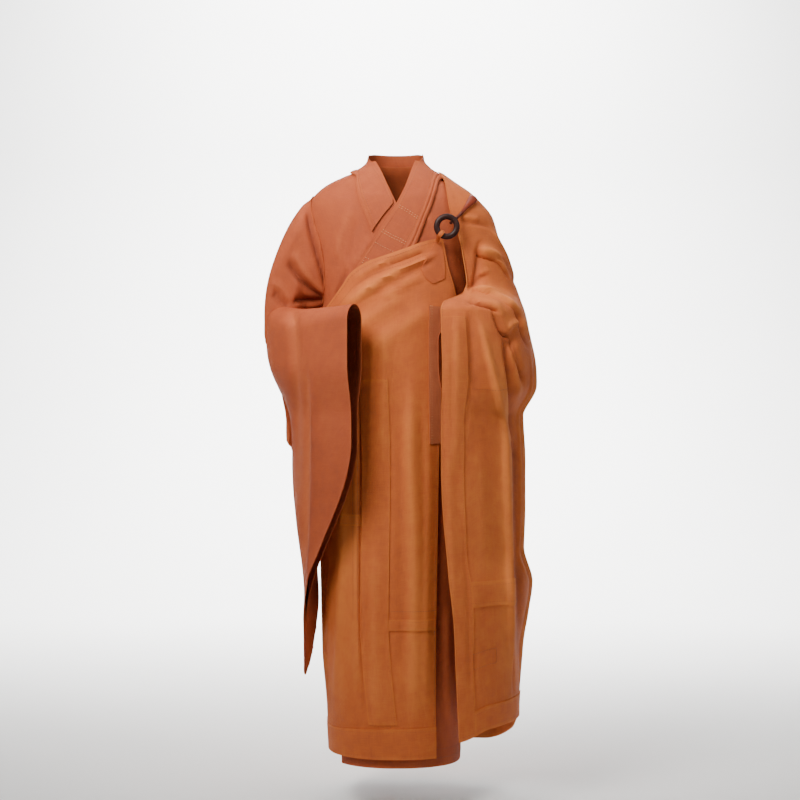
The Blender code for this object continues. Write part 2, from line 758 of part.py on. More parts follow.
def sleeve_loop(row, side, around):
    """One loop of a sleeve: over the arm, down the front layer and up the rear layer."""
    loop = dict(zip(SLEEVE_COLUMNS, row))
    face = math.radians(loop["face"])
    toward_front = np.array((side * math.sin(face), -math.cos(face)))
    height = loop["top_z"] - loop["low_z"]
    points = []
    for step in range(around):
        angle = 2.0 * math.pi * step / around
        down = height * (1.0 - math.cos(angle)) / 2.0
        z = loop["top_z"] - down
        lean = float(ease((loop["lean_from"] - z) / (loop["lean_from"] - loop["lean_to"])))
        low = float(ease((down / height - SLEEVE_LOW_FROM) / (1.0 - SLEEVE_LOW_FROM)))
        pouch = float(ease((z - POUCH_END_Z) / (POUCH_FULL_Z - POUCH_END_Z)))
        thick = loop["mid"] + (loop["arm"] - loop["mid"]) * pouch
        thick += (loop["low"] - thick) * low
        round_top = min(down / loop["arm"], 1.0)
        round_low = min((height - down) / (loop["low"] * SLEEVE_LOW_ROUNDING), 1.0)
        thick *= math.sqrt(max(0.0, 1.0 - (1.0 - round_top) ** 2))
        thick *= math.sqrt(max(0.0, 1.0 - (1.0 - round_low) ** 2))
        across = 1.0 if step <= around / 2 else -1.0
        centre_x = loop["top_x"] + (loop["low_x"] - loop["top_x"]) * lean
        centre_x -= side * loop["tuck"] * low
        centre_y = loop["top_y"] + (loop["low_y"] - loop["top_y"]) * lean
        x = centre_x + toward_front[0] * thick * across
        y = centre_y + toward_front[1] * thick * across
        points.append((x, y, z))
    return points


def sleeve_sheet(table, side, around):
    """A whole sleeve as a closed sheet of loops."""
    loops = [armhole_loop(side, around)]
    loops += [sleeve_loop(row, side, around) for row in table]
    points = np.array(loops)
    if side > 0:
        points = np.roll(points[:, ::-1], 1, axis=1)
    return Sheet(points, closed=True)


def build_sleeves():
    """Both wide sleeves and the snaps at the right cuff."""
    right = sleeve_sheet(RIGHT_SLEEVE, -1, RIGHT_SLEEVE_AROUND).folded(SLEEVE_FOLDS)
    wall("robe_sleeve_right", right, robe_cloth())
    left = sleeve_sheet(LEFT_SLEEVE, 1, LEFT_SLEEVE_AROUND)
    wall("robe_sleeve_left", left, robe_cloth())
    build_snaps(right)


def sheet_spot(sheet, column_line, height):
    """Point and direction on one line of a sheet at a height."""
    points, normals = sheet.points[column_line], sheet.normals[column_line]
    front = slice(0, points.shape[0] // 2 + 1)
    heights = points[front, 2][::-1]
    point = [np.interp(height, heights, points[front, i][::-1]) for i in range(3)]
    normal = [np.interp(height, heights, normals[front, i][::-1]) for i in range(3)]
    return np.array(point), unit(np.array(normal))


def build_snaps(sleeve):
    """Small round snaps down the front edge of the right cuff."""
    for number, height in enumerate(SNAP_HEIGHTS):
        edge, normal = sheet_spot(sleeve, -1, height)
        inner, _ = sheet_spot(sleeve, -2, height)
        centre = edge + unit(inner - edge) * SNAP_INSET
        centre += normal * (CLOTH + SEAM_GAP + LAYER_AIR / 2.0)
        disc(f"sleeve_snap_{number + 1}", centre, normal, snap_metal())


def disc(name, centre, normal, surface):
    """A small disc with a bevelled rim."""
    side = unit(np.cross(normal, (0.0, 0.0, 1.0)))
    up = np.cross(side, normal)
    rings = ((0.0, 0.92), (0.55, 1.0), (1.0, 0.72))
    points = []
    for depth, scale in rings:
        for step in range(SNAP_SIDES):
            angle = 2.0 * math.pi * step / SNAP_SIDES
            spoke = side * math.cos(angle) + up * math.sin(angle)
            points.append(centre + normal * SNAP_THICK * depth + spoke * SNAP_RADIUS * scale)
    faces = loft_faces(len(rings), SNAP_SIDES)
    add_object(name, points, faces, surface)


def loft_faces(rings, sides):
    """Faces of a lofted solid with flat ends, its rings turning the same way."""
    faces = [[step for step in range(sides)][::-1]]
    for ring in range(rings - 1):
        for step in range(sides):
            after = (step + 1) % sides
            a, b = ring * sides + step, ring * sides + after
            faces.append([a, b, b + sides, a + sides])
    faces.append([(rings - 1) * sides + step for step in range(sides)])
    return faces


def wrap_front_sheet():
    """The wrap across the chest and down the front, between its upper edge and its hem."""
    columns = []
    for column in range(WRAP_COLUMNS + 1):
        share = column / WRAP_COLUMNS

        def turn(z, share=share):
            edge = front_turn(z, float(FRONT_EDGE.at("x", z)), WRAP_OUT)
            return -90.0 + (edge + 90.0) * share

        top = -0.25
        for _ in range(12):
            x = body_point(top, turn(top), WRAP_OUT)[0]
            top = float(CHEST_EDGE.at("z", x))
        band_top = WRAP_HEM_Z + HEM_BAND
        shares = np.linspace(0.0, 1.0, WRAP_ROWS) ** 1.15
        heights = [top + (band_top - top) * step for step in shares] + [WRAP_HEM_Z]
        columns.append([body_point(z, turn(z), WRAP_OUT) for z in heights])
    return Sheet(np.array(columns).transpose(1, 0, 2)).folded(CHEST_FOLDS)


def bent_height(z, turn):
    """Height of a drape row after it bends to follow the curved hem."""
    lowest = DRAPE_ROWS[-1]
    share = max(0.0, (HEM_BEND_FROM_Z - z) / (HEM_BEND_FROM_Z - lowest))
    return z + share * (float(DRAPE_HEM.at("z", turn)) - lowest)


def drape_sheet():
    """The wrap from its free edge over the left arm, round the back to the right side."""
    grid = []
    for z in DRAPE_ROWS:
        edge = drape_front_turn(z, float(DRAPE.at("edge_x", z)))
        back_edge = drape_back_turn(z, float(BACK_EDGE.at("x", z))) if z > BACK_SLANT_END_Z else 270.0
        ahead = np.linspace(edge, 90.0, FALL_COLUMNS + 1)
        behind = np.linspace(90.0, back_edge, BACK_COLUMNS + 1)[1:]
        turns = np.concatenate((ahead, behind))
        heights = [bent_height(z, turn) for turn in turns]
        line = [drape_point(z, turn, 0.0)[:2] + (h,) for turn, h in zip(turns, heights)]
        grid.append(line)
    return Sheet(np.array(grid)).folded(DRAPE_FOLDS).folded(BACK_FOLDS, front=False)


def build_wrap():
    """The wrap's main walls and the bands, borders and patches sewn on them."""
    front = wrap_front_sheet()
    rows, columns = front.points.shape[0] - 1, front.points.shape[1] - 1
    wall("wrap_front", front.part((0, rows), (0, columns), "l"), wrap_cloth())
    on_front = front.moved_out(CLOTH + SEAM_GAP)
    hem = on_front.part((rows - 1, rows), (0, columns), "l")
    wall("wrap_hem_band_front", hem, wrap_cloth(), TRIM_CLOTH)

    drape = drape_sheet()
    low = drape.points.shape[0] - 1
    last = drape.points.shape[1] - 1
    side = FALL_COLUMNS
    shoulder = drape.part((0, SHOULDER_ROWS), (0, side), "br")
    wall("wrap_shoulder", shoulder, wrap_cloth())
    fall = drape.part((SHOULDER_ROWS, low), (0, side), "tr")
    wall("wrap_falling_end", fall, wrap_cloth())
    wall("wrap_back", drape.part((0, low), (side, last), "lr"), wrap_cloth())

    on_drape = drape.moved_out(CLOTH + SEAM_GAP)
    pieces = (
        ("wrap_hem_band_fall", (low - 1, low), (BORDER_COLUMNS, side), "lr"),
        ("wrap_hem_band_back", (low - 1, low), (side, last), "lr"),
        ("wrap_border_fall", (BORDER_FROM_ROW, low), (0, BORDER_COLUMNS), "r"),
        ("wrap_seam_band_fall", FALL_SEAM_ROWS, (BORDER_COLUMNS, BORDER_COLUMNS + FALL_BAND_COLUMNS), "l"),
    )
    for name, piece_rows, piece_columns, seams in pieces:
        piece = on_drape.part(piece_rows, piece_columns, seams)
        wall(name, piece, wrap_cloth(), TRIM_CLOTH)
    build_front_pieces()


def on_wrap_front(z, x, out):
    """Point on the wrap's front at height z and distance x, before its folds."""
    turn = front_turn(z, x, WRAP_OUT)
    return body_point(z, turn, WRAP_OUT + out)


def front_piece(name, heights, left_at, right_at, columns, out):
    """A piece lying on the wrap's front between two upright edges."""
    grid = []
    for z in heights:
        across = np.linspace(left_at(z), right_at(z), columns + 1)
        grid.append([on_wrap_front(z, x, 0.0) for x in across])
    sheet = Sheet(np.array(grid)).folded(CHEST_FOLDS).moved_out(out)
    wall(name, sheet, wrap_cloth(), TRIM_CLOTH)


def build_front_pieces():
    """The upright band, seam bands, shield patch and folded strip on the wrap's front."""
    on_cloth = CLOTH + SEAM_GAP + LAYER_AIR

    def column_left(z):
        return float(COLUMN_LEFT.at("x", z))

    def column_right(z):
        return column_left(z) + COLUMN_WIDTH

    heights = np.linspace(COLUMN_TOP_Z, COLUMN_LOW_Z, COLUMN_ROWS)
    front_piece("wrap_column_band", heights, column_left, column_right, COLUMN_COLUMNS, on_cloth)

    def seam_rows(z):
        return np.linspace(z, z - SEAM_BAND, 2)

    def column_side(z):
        return column_left(z) - SEAM_GAP * 2

    front_piece(
        "wrap_seam_band_left",
        seam_rows(LEFT_SEAM_Z),
        lambda z: LEFT_BAND_X,
        column_side,
        LEFT_BAND_COLUMNS,
        on_cloth,
    )
    front_piece(
        "wrap_seam_band_middle",
        seam_rows(MIDDLE_SEAM_Z),
        lambda z: column_right(z) + SEAM_GAP * 2,
        lambda z: float(FRONT_EDGE.at("x", z)) - MIDDLE_BAND_INSET,
        MIDDLE_BAND_COLUMNS,
        on_cloth,
    )
    front_piece(
        "wrap_shield_patch",
        np.linspace(SHIELD.key[-1], SHIELD.key[0], SHIELD_ROWS),
        lambda z: float(SHIELD.at("left", z)),
        lambda z: float(SHIELD.at("right", z)),
        SHIELD_COLUMNS,
        on_cloth,
    )
    front_piece(
        "wrap_folded_strip",
        np.linspace(STRIP_TOP_Z, STRIP_LOW_Z, STRIP_ROWS),
        lambda z: STRIP_LEFT_X,
        lambda z: STRIP_RIGHT_X,
        STRIP_COLUMNS,
        on_cloth,
    )


def build_ring():
    """The polished ring that the tab and the hook hold."""
    points = []
    centre = np.array(RING_CENTRE)
    for step in range(RING_SIDES):
        angle = 2.0 * math.pi * step / RING_SIDES
        spoke = np.array((math.cos(angle), 0.0, math.sin(angle)))
        for turn in range(RING_TUBE_SIDES):
            roll = 2.0 * math.pi * turn / RING_TUBE_SIDES
            reach = RING_RADIUS + RING_TUBE * math.cos(roll)
            depth = np.array((0.0, RING_TUBE * 0.85 * math.sin(roll), 0.0))
            points.append(centre + spoke * reach + depth)
    faces = []
    for step in range(RING_SIDES):
        for turn in range(RING_TUBE_SIDES):
            ahead = (step + 1) % RING_SIDES
            after = (turn + 1) % RING_TUBE_SIDES
            corners = ((step, turn), (step, after), (ahead, after), (ahead, turn))
            faces.append([s * RING_TUBE_SIDES + t for s, t in corners])
    add_object("fastener_ring", points, faces, dark_horn())


def tube_turn(angle, roll, reach):
    """Point beside the ring's tube, a reach from its middle, rolled round it."""
    spoke = np.array((math.cos(angle), 0.0, math.sin(angle)))
    place = np.array(RING_CENTRE) + spoke * (RING_RADIUS + reach * math.cos(roll))
    return place + np.array((0.0, reach * math.sin(roll), 0.0))


def build_tab():
    """The cloth tab: up from the wrap's corner, round the ring's tube and back down."""
    angle = math.radians(TAB_ANGLE)
    reach = RING_TUBE + LAYER_AIR + TAB_THICK / 2.0
    rolls = np.radians(TAB_ROLLS)
    path = [tube_turn(angle, roll, reach + LAYER_AIR * (0.3 - math.cos(roll))) for roll in rolls]
    foot = np.array(on_wrap_front(TAB_FOOT[1], TAB_FOOT[0], CLOTH + LAYER_AIR * 4))
    path = [foot + (0.0, -TAB_THICK * 1.6, 0.0), foot * 0.5 + path[0] * 0.5] + path
    tangent = unit(np.gradient(np.array(path), axis=0))
    width = unit(np.array((math.sin(angle), 0.0, -math.cos(angle))))
    normal = unit(np.cross(tangent, width))
    points = []
    for centre, out in zip(path, normal):
        for across, through in ((-1, -1), (1, -1), (1, 1), (-1, 1)):
            offset = width * TAB_WIDTH / 2.0 * across + out * TAB_THICK / 2.0 * through
            points.append(centre + offset)
    add_object("fastener_tab", points, loft_faces(len(path), 4), wrap_cloth())


def over_drape(z, x, distance):
    """Point off the drape's face at height z and distance x on its front."""
    turn = drape_front_turn(z, x)
    down = np.subtract(drape_point(z - 0.002, turn, 0.0), drape_point(z + 0.002, turn, 0.0))
    across = np.subtract(drape_point(z, turn + 1.0, 0.0), drape_point(z, turn - 1.0, 0.0))
    return np.array(drape_point(z, turn, 0.0)) + unit(np.cross(down, across)) * distance


def build_hook():
    """The hook: its bent end behind the ring, its spoon head on the shoulder."""
    angle = math.radians(HOOK_ANGLE)
    reach = RING_TUBE + HOOK_STATIONS[0][2] + SEAM_GAP
    path = [tube_turn(angle, math.radians(roll), reach) for roll in HOOK_ROLLS]
    start = path[-1]
    for share, _, thin in HOOK_STATIONS[1:]:
        x = start[0] + (HOOK_HEAD[0] - start[0]) * share
        z = start[2] + (HOOK_HEAD[1] - start[2]) * share
        path.append(over_drape(z, x, CLOTH + SEAM_GAP + thin))
    path = np.array(path)
    sizes = np.array([HOOK_STATIONS[0]] * (len(HOOK_ROLLS) - 1) + list(HOOK_STATIONS))
    tangent = unit(np.gradient(path, axis=0))
    wide = unit(np.cross(tangent, (0.0, 1.0, 0.0)))
    thin = np.cross(tangent, wide)
    points = []
    for centre, size, side, flat in zip(path, sizes, wide, thin):
        for step in range(HOOK_SIDES):
            turn = 2.0 * math.pi * step / HOOK_SIDES
            offset = side * size[1] * math.cos(turn) + flat * size[2] * math.sin(turn)
            points.append(centre + offset)
    add_object("fastener_hook", points, loft_faces(len(path), HOOK_SIDES), dark_horn())


def clear_scene():
    """Remove whatever the file held."""
    for found in list(bpy.data.objects):
        bpy.data.objects.remove(found, do_unlink=True)


def main():
    clear_scene()
    build_robe_body()
    build_collar()
    build_sleeves()
    build_wrap()
    build_ring()
    build_tab()
    build_hook()


main()
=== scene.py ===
"""A monk's two-layer robe as worn: the crossed robe, the pieced wrap over it and its fastener.

Metres, +Z up. The front faces -Y and the wearer's left is +X. The origin is the middle of the
shoulder line. Each cloth is a thin shell over the form of its solid, with its creases laid
along paths that are given as seen from one side.
"""

from __future__ import annotations

import logging
import math
from collections.abc import Callable, Iterable, Sequence
from dataclasses import dataclass, field
from enum import Enum

import bmesh
import bpy
import numpy as np
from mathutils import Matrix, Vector, noise


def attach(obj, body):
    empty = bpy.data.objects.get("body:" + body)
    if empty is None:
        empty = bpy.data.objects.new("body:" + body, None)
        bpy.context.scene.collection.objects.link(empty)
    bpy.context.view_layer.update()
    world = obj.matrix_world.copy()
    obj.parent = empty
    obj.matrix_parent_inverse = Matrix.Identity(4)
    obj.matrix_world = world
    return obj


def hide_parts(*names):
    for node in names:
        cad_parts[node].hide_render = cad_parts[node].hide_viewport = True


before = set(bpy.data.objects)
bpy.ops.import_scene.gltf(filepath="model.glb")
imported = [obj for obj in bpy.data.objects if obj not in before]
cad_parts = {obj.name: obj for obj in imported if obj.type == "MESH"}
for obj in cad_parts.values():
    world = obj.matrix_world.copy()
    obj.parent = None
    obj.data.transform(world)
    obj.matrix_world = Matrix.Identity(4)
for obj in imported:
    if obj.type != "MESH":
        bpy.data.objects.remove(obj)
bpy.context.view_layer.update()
LOG = logging.getLogger("robe")

Grid = np.ndarray
Curve = np.ndarray
Point = tuple[float, float, float]

# Cloth and the layers' distances outside the figure
CLOTH = 0.002
SHELL_IN = 0.0006
TRIM_CLOTH = 0.0026
OVERLAP_OUT = 0.0055
BAND_OUT = 0.0040
WRAP_OUT = 0.0132
TRIM_OUT = 0.0016
AIR = 0.0008
PLAN_POWER = 2.3
NECK_RISE = 0.007

# Hems
ROBE_HEM_Z = -1.382
ROBE_OVER_HEM_Z = -1.397
WRAP_HEM_Z = -1.375
HEM_BAND = 0.070
HEM_TURN = 0.045

# Armholes, and the sleeves' laps over them
ARMHOLE_MIDDLE_Z = -0.195
ARMHOLE_HALF_HEIGHT = 0.125
ARMHOLE_HALF_TURN = 30.0
SLEEVE_LAP_HEIGHT = 0.011
SLEEVE_LAP_TURN = 1.8
SLEEVE_LAP_OUT = 0.0017
LEFT_LAP_SHARE = 0.55
POUCH_FULL_Z = -0.465
POUCH_END_Z = -0.590

# The wrap's hanging side and back: its rows lie closer over the forearm, its upper edge slants
# down behind and blends into the side, and its bands take shares of the part before the side
FOREARM_FOLDS_END_Z = -0.590
BACK_SLANT_END_Z = -0.350
SLANT_BLEND_ABOVE = 0.034
SLANT_BLEND = 0.044
HEM_BEND_FROM_Z = -0.960
BORDER_TOP_Z = -0.360
BORDER_SHARE = 2.0 / 14.0
SEAM_BAND_SHARE = 6.0 / 14.0
FALL_SEAM_ZS = (-0.960, -1.030)

# Creases: how much steeper one flank is, how far they reach and how soon they fade at the ends
CREASE_LEAN = 0.25
CREASE_REACH = 3.2
CREASE_POWER = 1.8
CREASE_FADE = 0.2
FACING_GAIN = 1.7

# A crease that leans more than this is a flap, whose foot is drawn in beside its steep flank
FLAP_LEAN = 0.5
FLAP_FOOT = 0.0028
FLAP_FOOT_AT = 1.45
FLAP_FOOT_DEPTH = 0.5

# Parts of the solids' largest folds that the fine creases keep
CHEST_FOLDS_SHARE = 0.5
SIDE_FOLDS_SHARE = 0.3

# Fastener
RING_CENTRE = (0.115, -0.158, -0.147)
RING_RADIUS = 0.0230
RING_TUBE = 0.0070
TAB_WIDTH = 0.010
TAB_THICK = 0.0015
TAB_ANGLE = 232.0
TAB_ROLLS = (-20.0, -60.0, -100.0, -140.0, -180.0, -220.0, -260.0)
TAB_FOOT = (0.0935, -0.1815)
HOOK_ANGLE = 42.0
HOOK_ROLLS = (165.0, 130.0, 95.0, 55.0)
HOOK_HEAD = (0.1790, -0.0720)
SNAP_HEIGHTS = (-0.492, -0.518, -0.545)

# Width over which an edge is rubbed
RUBBED_WIDTH = 0.0035

# Threads
STITCH_PITCH = 0.0062
STITCH_LENGTH = 0.0046
STITCH_RADIUS = 0.00055


class Table:
    """A short table with named columns, read as smooth curves of its first column."""

    def __init__(self, columns: Sequence[str], rows: Sequence[Sequence[float]]) -> None:
        """Sort the rows by their first column.

        Args:
            columns: Names of the columns.
            rows: Rows of numbers, one for each name.
        """
        data = np.array(rows, dtype=float)
        order = np.argsort(data[:, 0])
        self.key: Curve = data[order, 0]
        self.columns = {name: data[order, i] for i, name in enumerate(columns)}

    def at(self, name: str, where: float | Curve) -> Curve:
        """Read a column with a cubic through the rows that never overshoots them.

        Args:
            name: Column to read.
            where: Places along the first column.

        Returns:
            The column's values there.
        """
        key, value = self.key, self.columns[name]
        where = np.clip(np.asarray(where, dtype=float), key[0], key[-1])
        step = np.diff(key)
        rise = np.diff(value) / step
        slope = np.zeros(len(key))
        slope[0], slope[-1] = rise[0], rise[-1]
        same_way = rise[:-1] * rise[1:] > 0
        mean = 2.0 * rise[:-1] * rise[1:] / np.where(same_way, rise[:-1] + rise[1:], 1.0)
        slope[1:-1] = np.where(same_way, mean, 0.0)
        i = np.clip(np.searchsorted(key, where) - 1, 0, len(step) - 1)
        t = (where - key[i]) / step[i]
        near = (1 + 2 * t) * (1 - t) ** 2 * value[i] + t * (1 - t) ** 2 * step[i] * slope[i]
        far = t * t * (3 - 2 * t) * value[i + 1] + t * t * (t - 1) * step[i] * slope[i + 1]
        return near + far


# The general figure under the robe, a row for each height
BODY = Table(("z", "right", "left", "front", "back"), (
    (0.045, 0.061, 0.055, 0.044, 0.054), (0.020, 0.068, 0.062, 0.053, 0.061),
    (0.000, 0.090, 0.080, 0.066, 0.072), (-0.012, 0.121, 0.096, 0.077, 0.082),
    (-0.036, 0.170, 0.133, 0.092, 0.098), (-0.057, 0.195, 0.163, 0.102, 0.108),
    (-0.075, 0.208, 0.180, 0.110, 0.115), (-0.110, 0.216, 0.198, 0.118, 0.123),
    (-0.175, 0.206, 0.199, 0.125, 0.130), (-0.250, 0.190, 0.188, 0.129, 0.131),
    (-0.320, 0.178, 0.180, 0.132, 0.128), (-0.450, 0.170, 0.172, 0.138, 0.126),
    (-0.650, 0.168, 0.170, 0.144, 0.132), (-0.900, 0.165, 0.166, 0.149, 0.142),
    (-1.150, 0.158, 0.160, 0.151, 0.150), (-1.400, 0.145, 0.150, 0.151, 0.152),
))

# The wrap's left side hangs from the shoulder and the forearm, clear of the figure
DRAPE = Table(("z", "left", "front", "back", "edge_x"), (
    (-0.008, 0.107, 0.087, 0.093, 0.096), (-0.036, 0.148, 0.106, 0.113, 0.112),
    (-0.057, 0.178, 0.117, 0.124, 0.115), (-0.075, 0.196, 0.125, 0.131, 0.117),
    (-0.110, 0.225, 0.134, 0.139, 0.123), (-0.158, 0.240, 0.142, 0.145, 0.140),
    (-0.218, 0.262, 0.147, 0.148, 0.150), (-0.280, 0.283, 0.152, 0.147, 0.158),
    (-0.300, 0.290, 0.166, 0.146, 0.153), (-0.316, 0.295, 0.212, 0.145, 0.128),
    (-0.328, 0.299, 0.246, 0.144, 0.104), (-0.345, 0.304, 0.262, 0.144, 0.098),
    (-0.400, 0.315, 0.269, 0.143, 0.099), (-0.470, 0.324, 0.268, 0.143, 0.101),
    (-0.510, 0.323, 0.264, 0.144, 0.101), (-0.585, 0.290, 0.259, 0.146, 0.099),
    (-0.700, 0.296, 0.252, 0.150, 0.099), (-0.800, 0.296, 0.248, 0.154, 0.103),
    (-0.900, 0.293, 0.246, 0.158, 0.112), (-0.985, 0.314, 0.245, 0.162, 0.120),
    (-1.080, 0.304, 0.244, 0.166, 0.128), (-1.185, 0.291, 0.243, 0.169, 0.132),
    (-1.390, 0.288, 0.241, 0.171, 0.140),
))

# Lower edge of the wrap's left side and back, round the body from front to right side
DRAPE_HEM = Table(("turn", "z"), (
    (10.0, -1.334), (28.0, -1.322), (45.0, -1.300), (75.0, -1.294), (92.0, -1.300),
    (108.0, -1.346), (135.0, -1.384), (180.0, -1.392), (270.0, -1.375),
))

# Upper edge of the wrap across the back, from the left shoulder to the right underarm
BACK_EDGE = Table(("z", "x"), (
    (-0.008, 0.096), (-0.036, 0.074), (-0.075, 0.044), (-0.110, 0.014), (-0.158, -0.030),
    (-0.218, -0.085), (-0.280, -0.136), (-0.350, -0.184),
))

# Upper edge of the wrap across the chest, from the right side to the tab
CHEST_EDGE = Table(("x", "z"), (
    (-0.190, -0.352), (-0.165, -0.330), (-0.150, -0.312), (-0.126, -0.279), (-0.109, -0.254),
    (-0.090, -0.239), (-0.065, -0.225), (-0.018, -0.209), (0.023, -0.195), (0.058, -0.181),
    (0.095, -0.173), (0.107, -0.175),
))

# Free upright edge of the wrap's front
FRONT_EDGE = Table(("z", "x"), (
    (-0.175, 0.107), (-0.227, 0.116), (-0.315, 0.137), (-0.400, 0.124), (-0.500, 0.106),
    (-0.650, 0.097), (-0.900, 0.092), (-1.150, 0.088), (-1.375, 0.089),
))

# Free edges of the robe's two fronts, the right one under the left one
UNDER_EDGE = Table(("z", "x"), (
    (0.045, -0.066), (0.020, -0.050), (-0.047, -0.020), (-0.099, 0.004), (-0.160, 0.034),
    (-0.220, 0.062), (-0.320, 0.084), (-1.400, 0.080),
))
OVER_EDGE = Table(("z", "x"), (
    (0.045, 0.056), (0.020, 0.043), (-0.049, 0.018), (-0.100, -0.008), (-0.155, -0.043),
    (-0.238, -0.094), (-0.320, -0.140), (-0.420, -0.150), (-1.400, -0.128),
))

# Collar bands: both edges of each band at stations down the band
COLLAR_COLUMNS = ("inner_x", "inner_z", "outer_x", "outer_z")
RIGHT_COLLAR = (
    (-0.075, 0.036, -0.100, 0.002), (-0.056, 0.010, -0.090, -0.018),
    (-0.040, -0.020, -0.086, -0.044), (-0.026, -0.047, -0.080, -0.072),
    (-0.015, -0.070, -0.070, -0.098), (-0.010, -0.082, -0.060, -0.124),
    (-0.010, -0.090, -0.052, -0.146),
)
LEFT_COLLAR = (
    (0.065, 0.042, 0.090, 0.000), (0.048, 0.020, 0.080, -0.020), (0.036, -0.016, 0.074, -0.050),
    (0.024, -0.049, 0.064, -0.084), (0.012, -0.074, 0.056, -0.106),
    (-0.002, -0.100, 0.047, -0.130), (-0.019, -0.128, 0.035, -0.160),
    (-0.037, -0.155, 0.021, -0.188), (-0.060, -0.193, -0.002, -0.222),
    (-0.088, -0.238, -0.030, -0.264), (-0.122, -0.294, -0.068, -0.318),
)
COLLAR_BACK_TOP_Z = 0.040
COLLAR_BACK_LOW_Z = 0.001
COLLAR_TUCK = 0.0095
CROSS_STITCH_ZS = (-0.092, -0.098, -0.150, -0.156, -0.180, -0.216, -0.221, -0.226)

# The wide sleeves, a row for each loop of cloth from the armhole to the cuff
SLEEVE_COLUMNS = (
    "top_x", "top_y", "top_z", "low_x", "low_y", "low_z", "face", "arm", "mid", "low",
    "lean_from", "lean_to", "tuck",
)
RIGHT_SLEEVE = (
    (-0.226, 0.004, -0.086, -0.216, 0.008, -0.346, 6, 0.076, 0.076, 0.060, -0.10, -0.34, 0.0),
    (-0.252, 0.008, -0.130, -0.222, 0.016, -0.430, 11, 0.080, 0.078, 0.045, -0.14, -0.42, 0.0),
    (-0.270, 0.010, -0.185, -0.228, 0.026, -0.540, 18, 0.078, 0.070, 0.034, -0.30, -0.54, 0.0),
    (-0.278, 0.010, -0.240, -0.232, 0.036, -0.690, 25, 0.074, 0.056, 0.026, -0.38, -0.59, 0.01),
    (-0.274, 0.000, -0.292, -0.233, 0.034, -0.850, 32, 0.068, 0.042, 0.022, -0.42, -0.60, 0.02),
    (-0.260, -0.042, -0.320, -0.232, 0.010, -0.965, 37, 0.062, 0.034, 0.018, -0.44, -0.63, 0.03),
    (-0.230, -0.098, -0.332, -0.229, -0.026, -1.045, 38, 0.056, 0.029, 0.015, -0.46, -0.76, 0.035),
    (-0.190, -0.150, -0.334, -0.224, -0.062, -1.105, 36, 0.050, 0.025, 0.012, -0.50, -0.90, 0.026),
    (-0.142, -0.198, -0.332, -0.218, -0.096, -1.150, 31, 0.044, 0.021, 0.010, -0.58, -1.00, 0.014),
    (-0.096, -0.236, -0.328, -0.214, -0.128, -1.185, 26, 0.038, 0.018, 0.008, -0.64, -1.06, 0.0),
)
LEFT_SLEEVE = (
    (0.200, 0.004, -0.096, 0.205, 0.008, -0.340, 5, 0.070, 0.068, 0.050, -0.12, -0.34, 0.0),
    (0.216, 0.004, -0.136, 0.207, 0.014, -0.420, 10, 0.068, 0.064, 0.034, -0.16, -0.42, 0.0),
    (0.234, 0.004, -0.195, 0.209, 0.016, -0.520, 18, 0.062, 0.054, 0.026, -0.30, -0.52, 0.0),
    (0.246, 0.002, -0.262, 0.212, 0.010, -0.620, 27, 0.054, 0.040, 0.020, -0.34, -0.58, 0.0),
    (0.244, -0.024, -0.328, 0.213, -0.012, -0.720, 37, 0.046, 0.030, 0.016, -0.38, -0.60, 0.0),
    (0.212, -0.090, -0.360, 0.210, -0.052, -0.810, 46, 0.040, 0.024, 0.012, -0.42, -0.64, 0.0),
    (0.166, -0.150, -0.372, 0.200, -0.098, -0.890, 52, 0.036, 0.020, 0.010, -0.46, -0.72, 0.0),
    (0.120, -0.200, -0.378, 0.184, -0.138, -0.950, 58, 0.032, 0.016, 0.008, -0.50, -0.80, 0.0),
)

# Pieces sewn on the wrap's front, and the hook's width and thickness along it
SHIELD = Table(("z", "left", "right"), (
    (-0.178, 0.090, 0.099), (-0.205, 0.076, 0.106), (-0.242, 0.057, 0.110), (-0.262, 0.064, 0.110),
    (-0.277, 0.081, 0.086),
))
STRIP_TOP_Z = -0.330
STRIP_LOW_Z = -0.648
STRIP_LEFT_X = 0.073
STRIP_RIGHT_X = 0.100
COLUMN_LEFT = Table(("z", "x"), (
    (-0.480, -0.086), (-0.725, -0.079), (-1.057, -0.083), (-1.162, -0.077), (-1.304, -0.063),
))
COLUMN_WIDTH = 0.064
COLUMN_TOP_Z = -0.500
COLUMN_LOW_Z = -1.299
SEAM_BAND = 0.026
PATCH_LEFT_X = -0.150
PATCH_GAP = 0.0006
LEFT_SEAM_Z = -0.812
MIDDLE_SEAM_Z = -1.052
HOOK_STATIONS = (
    (0.00, 0.0036, 0.0036), (0.20, 0.0038, 0.0034), (0.45, 0.0048, 0.0034), (0.62, 0.0072, 0.0036),
    (0.80, 0.0100, 0.0040), (0.93, 0.0100, 0.0040), (1.00, 0.0060, 0.0028),
)

# Height steps of the fine grids
FRONT_ROWS = (
    0.020, 0.010, 0.002, -0.006, -0.014, -0.024, -0.036, -0.052, -0.0715, -0.084, -0.105,
    -0.145, -0.195, -0.245, -0.285, -0.306, -0.3195, -0.400, -0.560, -0.760, -0.980, -1.200,
)
DRAPE_ROWS = (
    -0.009, -0.020, -0.034, -0.050, -0.068, -0.090, -0.120, -0.155, -0.190, -0.225, -0.260,
    -0.288, -0.304, -0.316, -0.326, -0.338, -0.360, -0.400, -0.440, -0.480, -0.520, -0.555,
    -0.590, -0.650, -0.730, -0.810, -0.890, -0.960, -1.030, -1.110, -1.210, -1.320, -1.390,
)
ROW_STEP = 0.0075
NECK_SEAM_TURN = 89.93


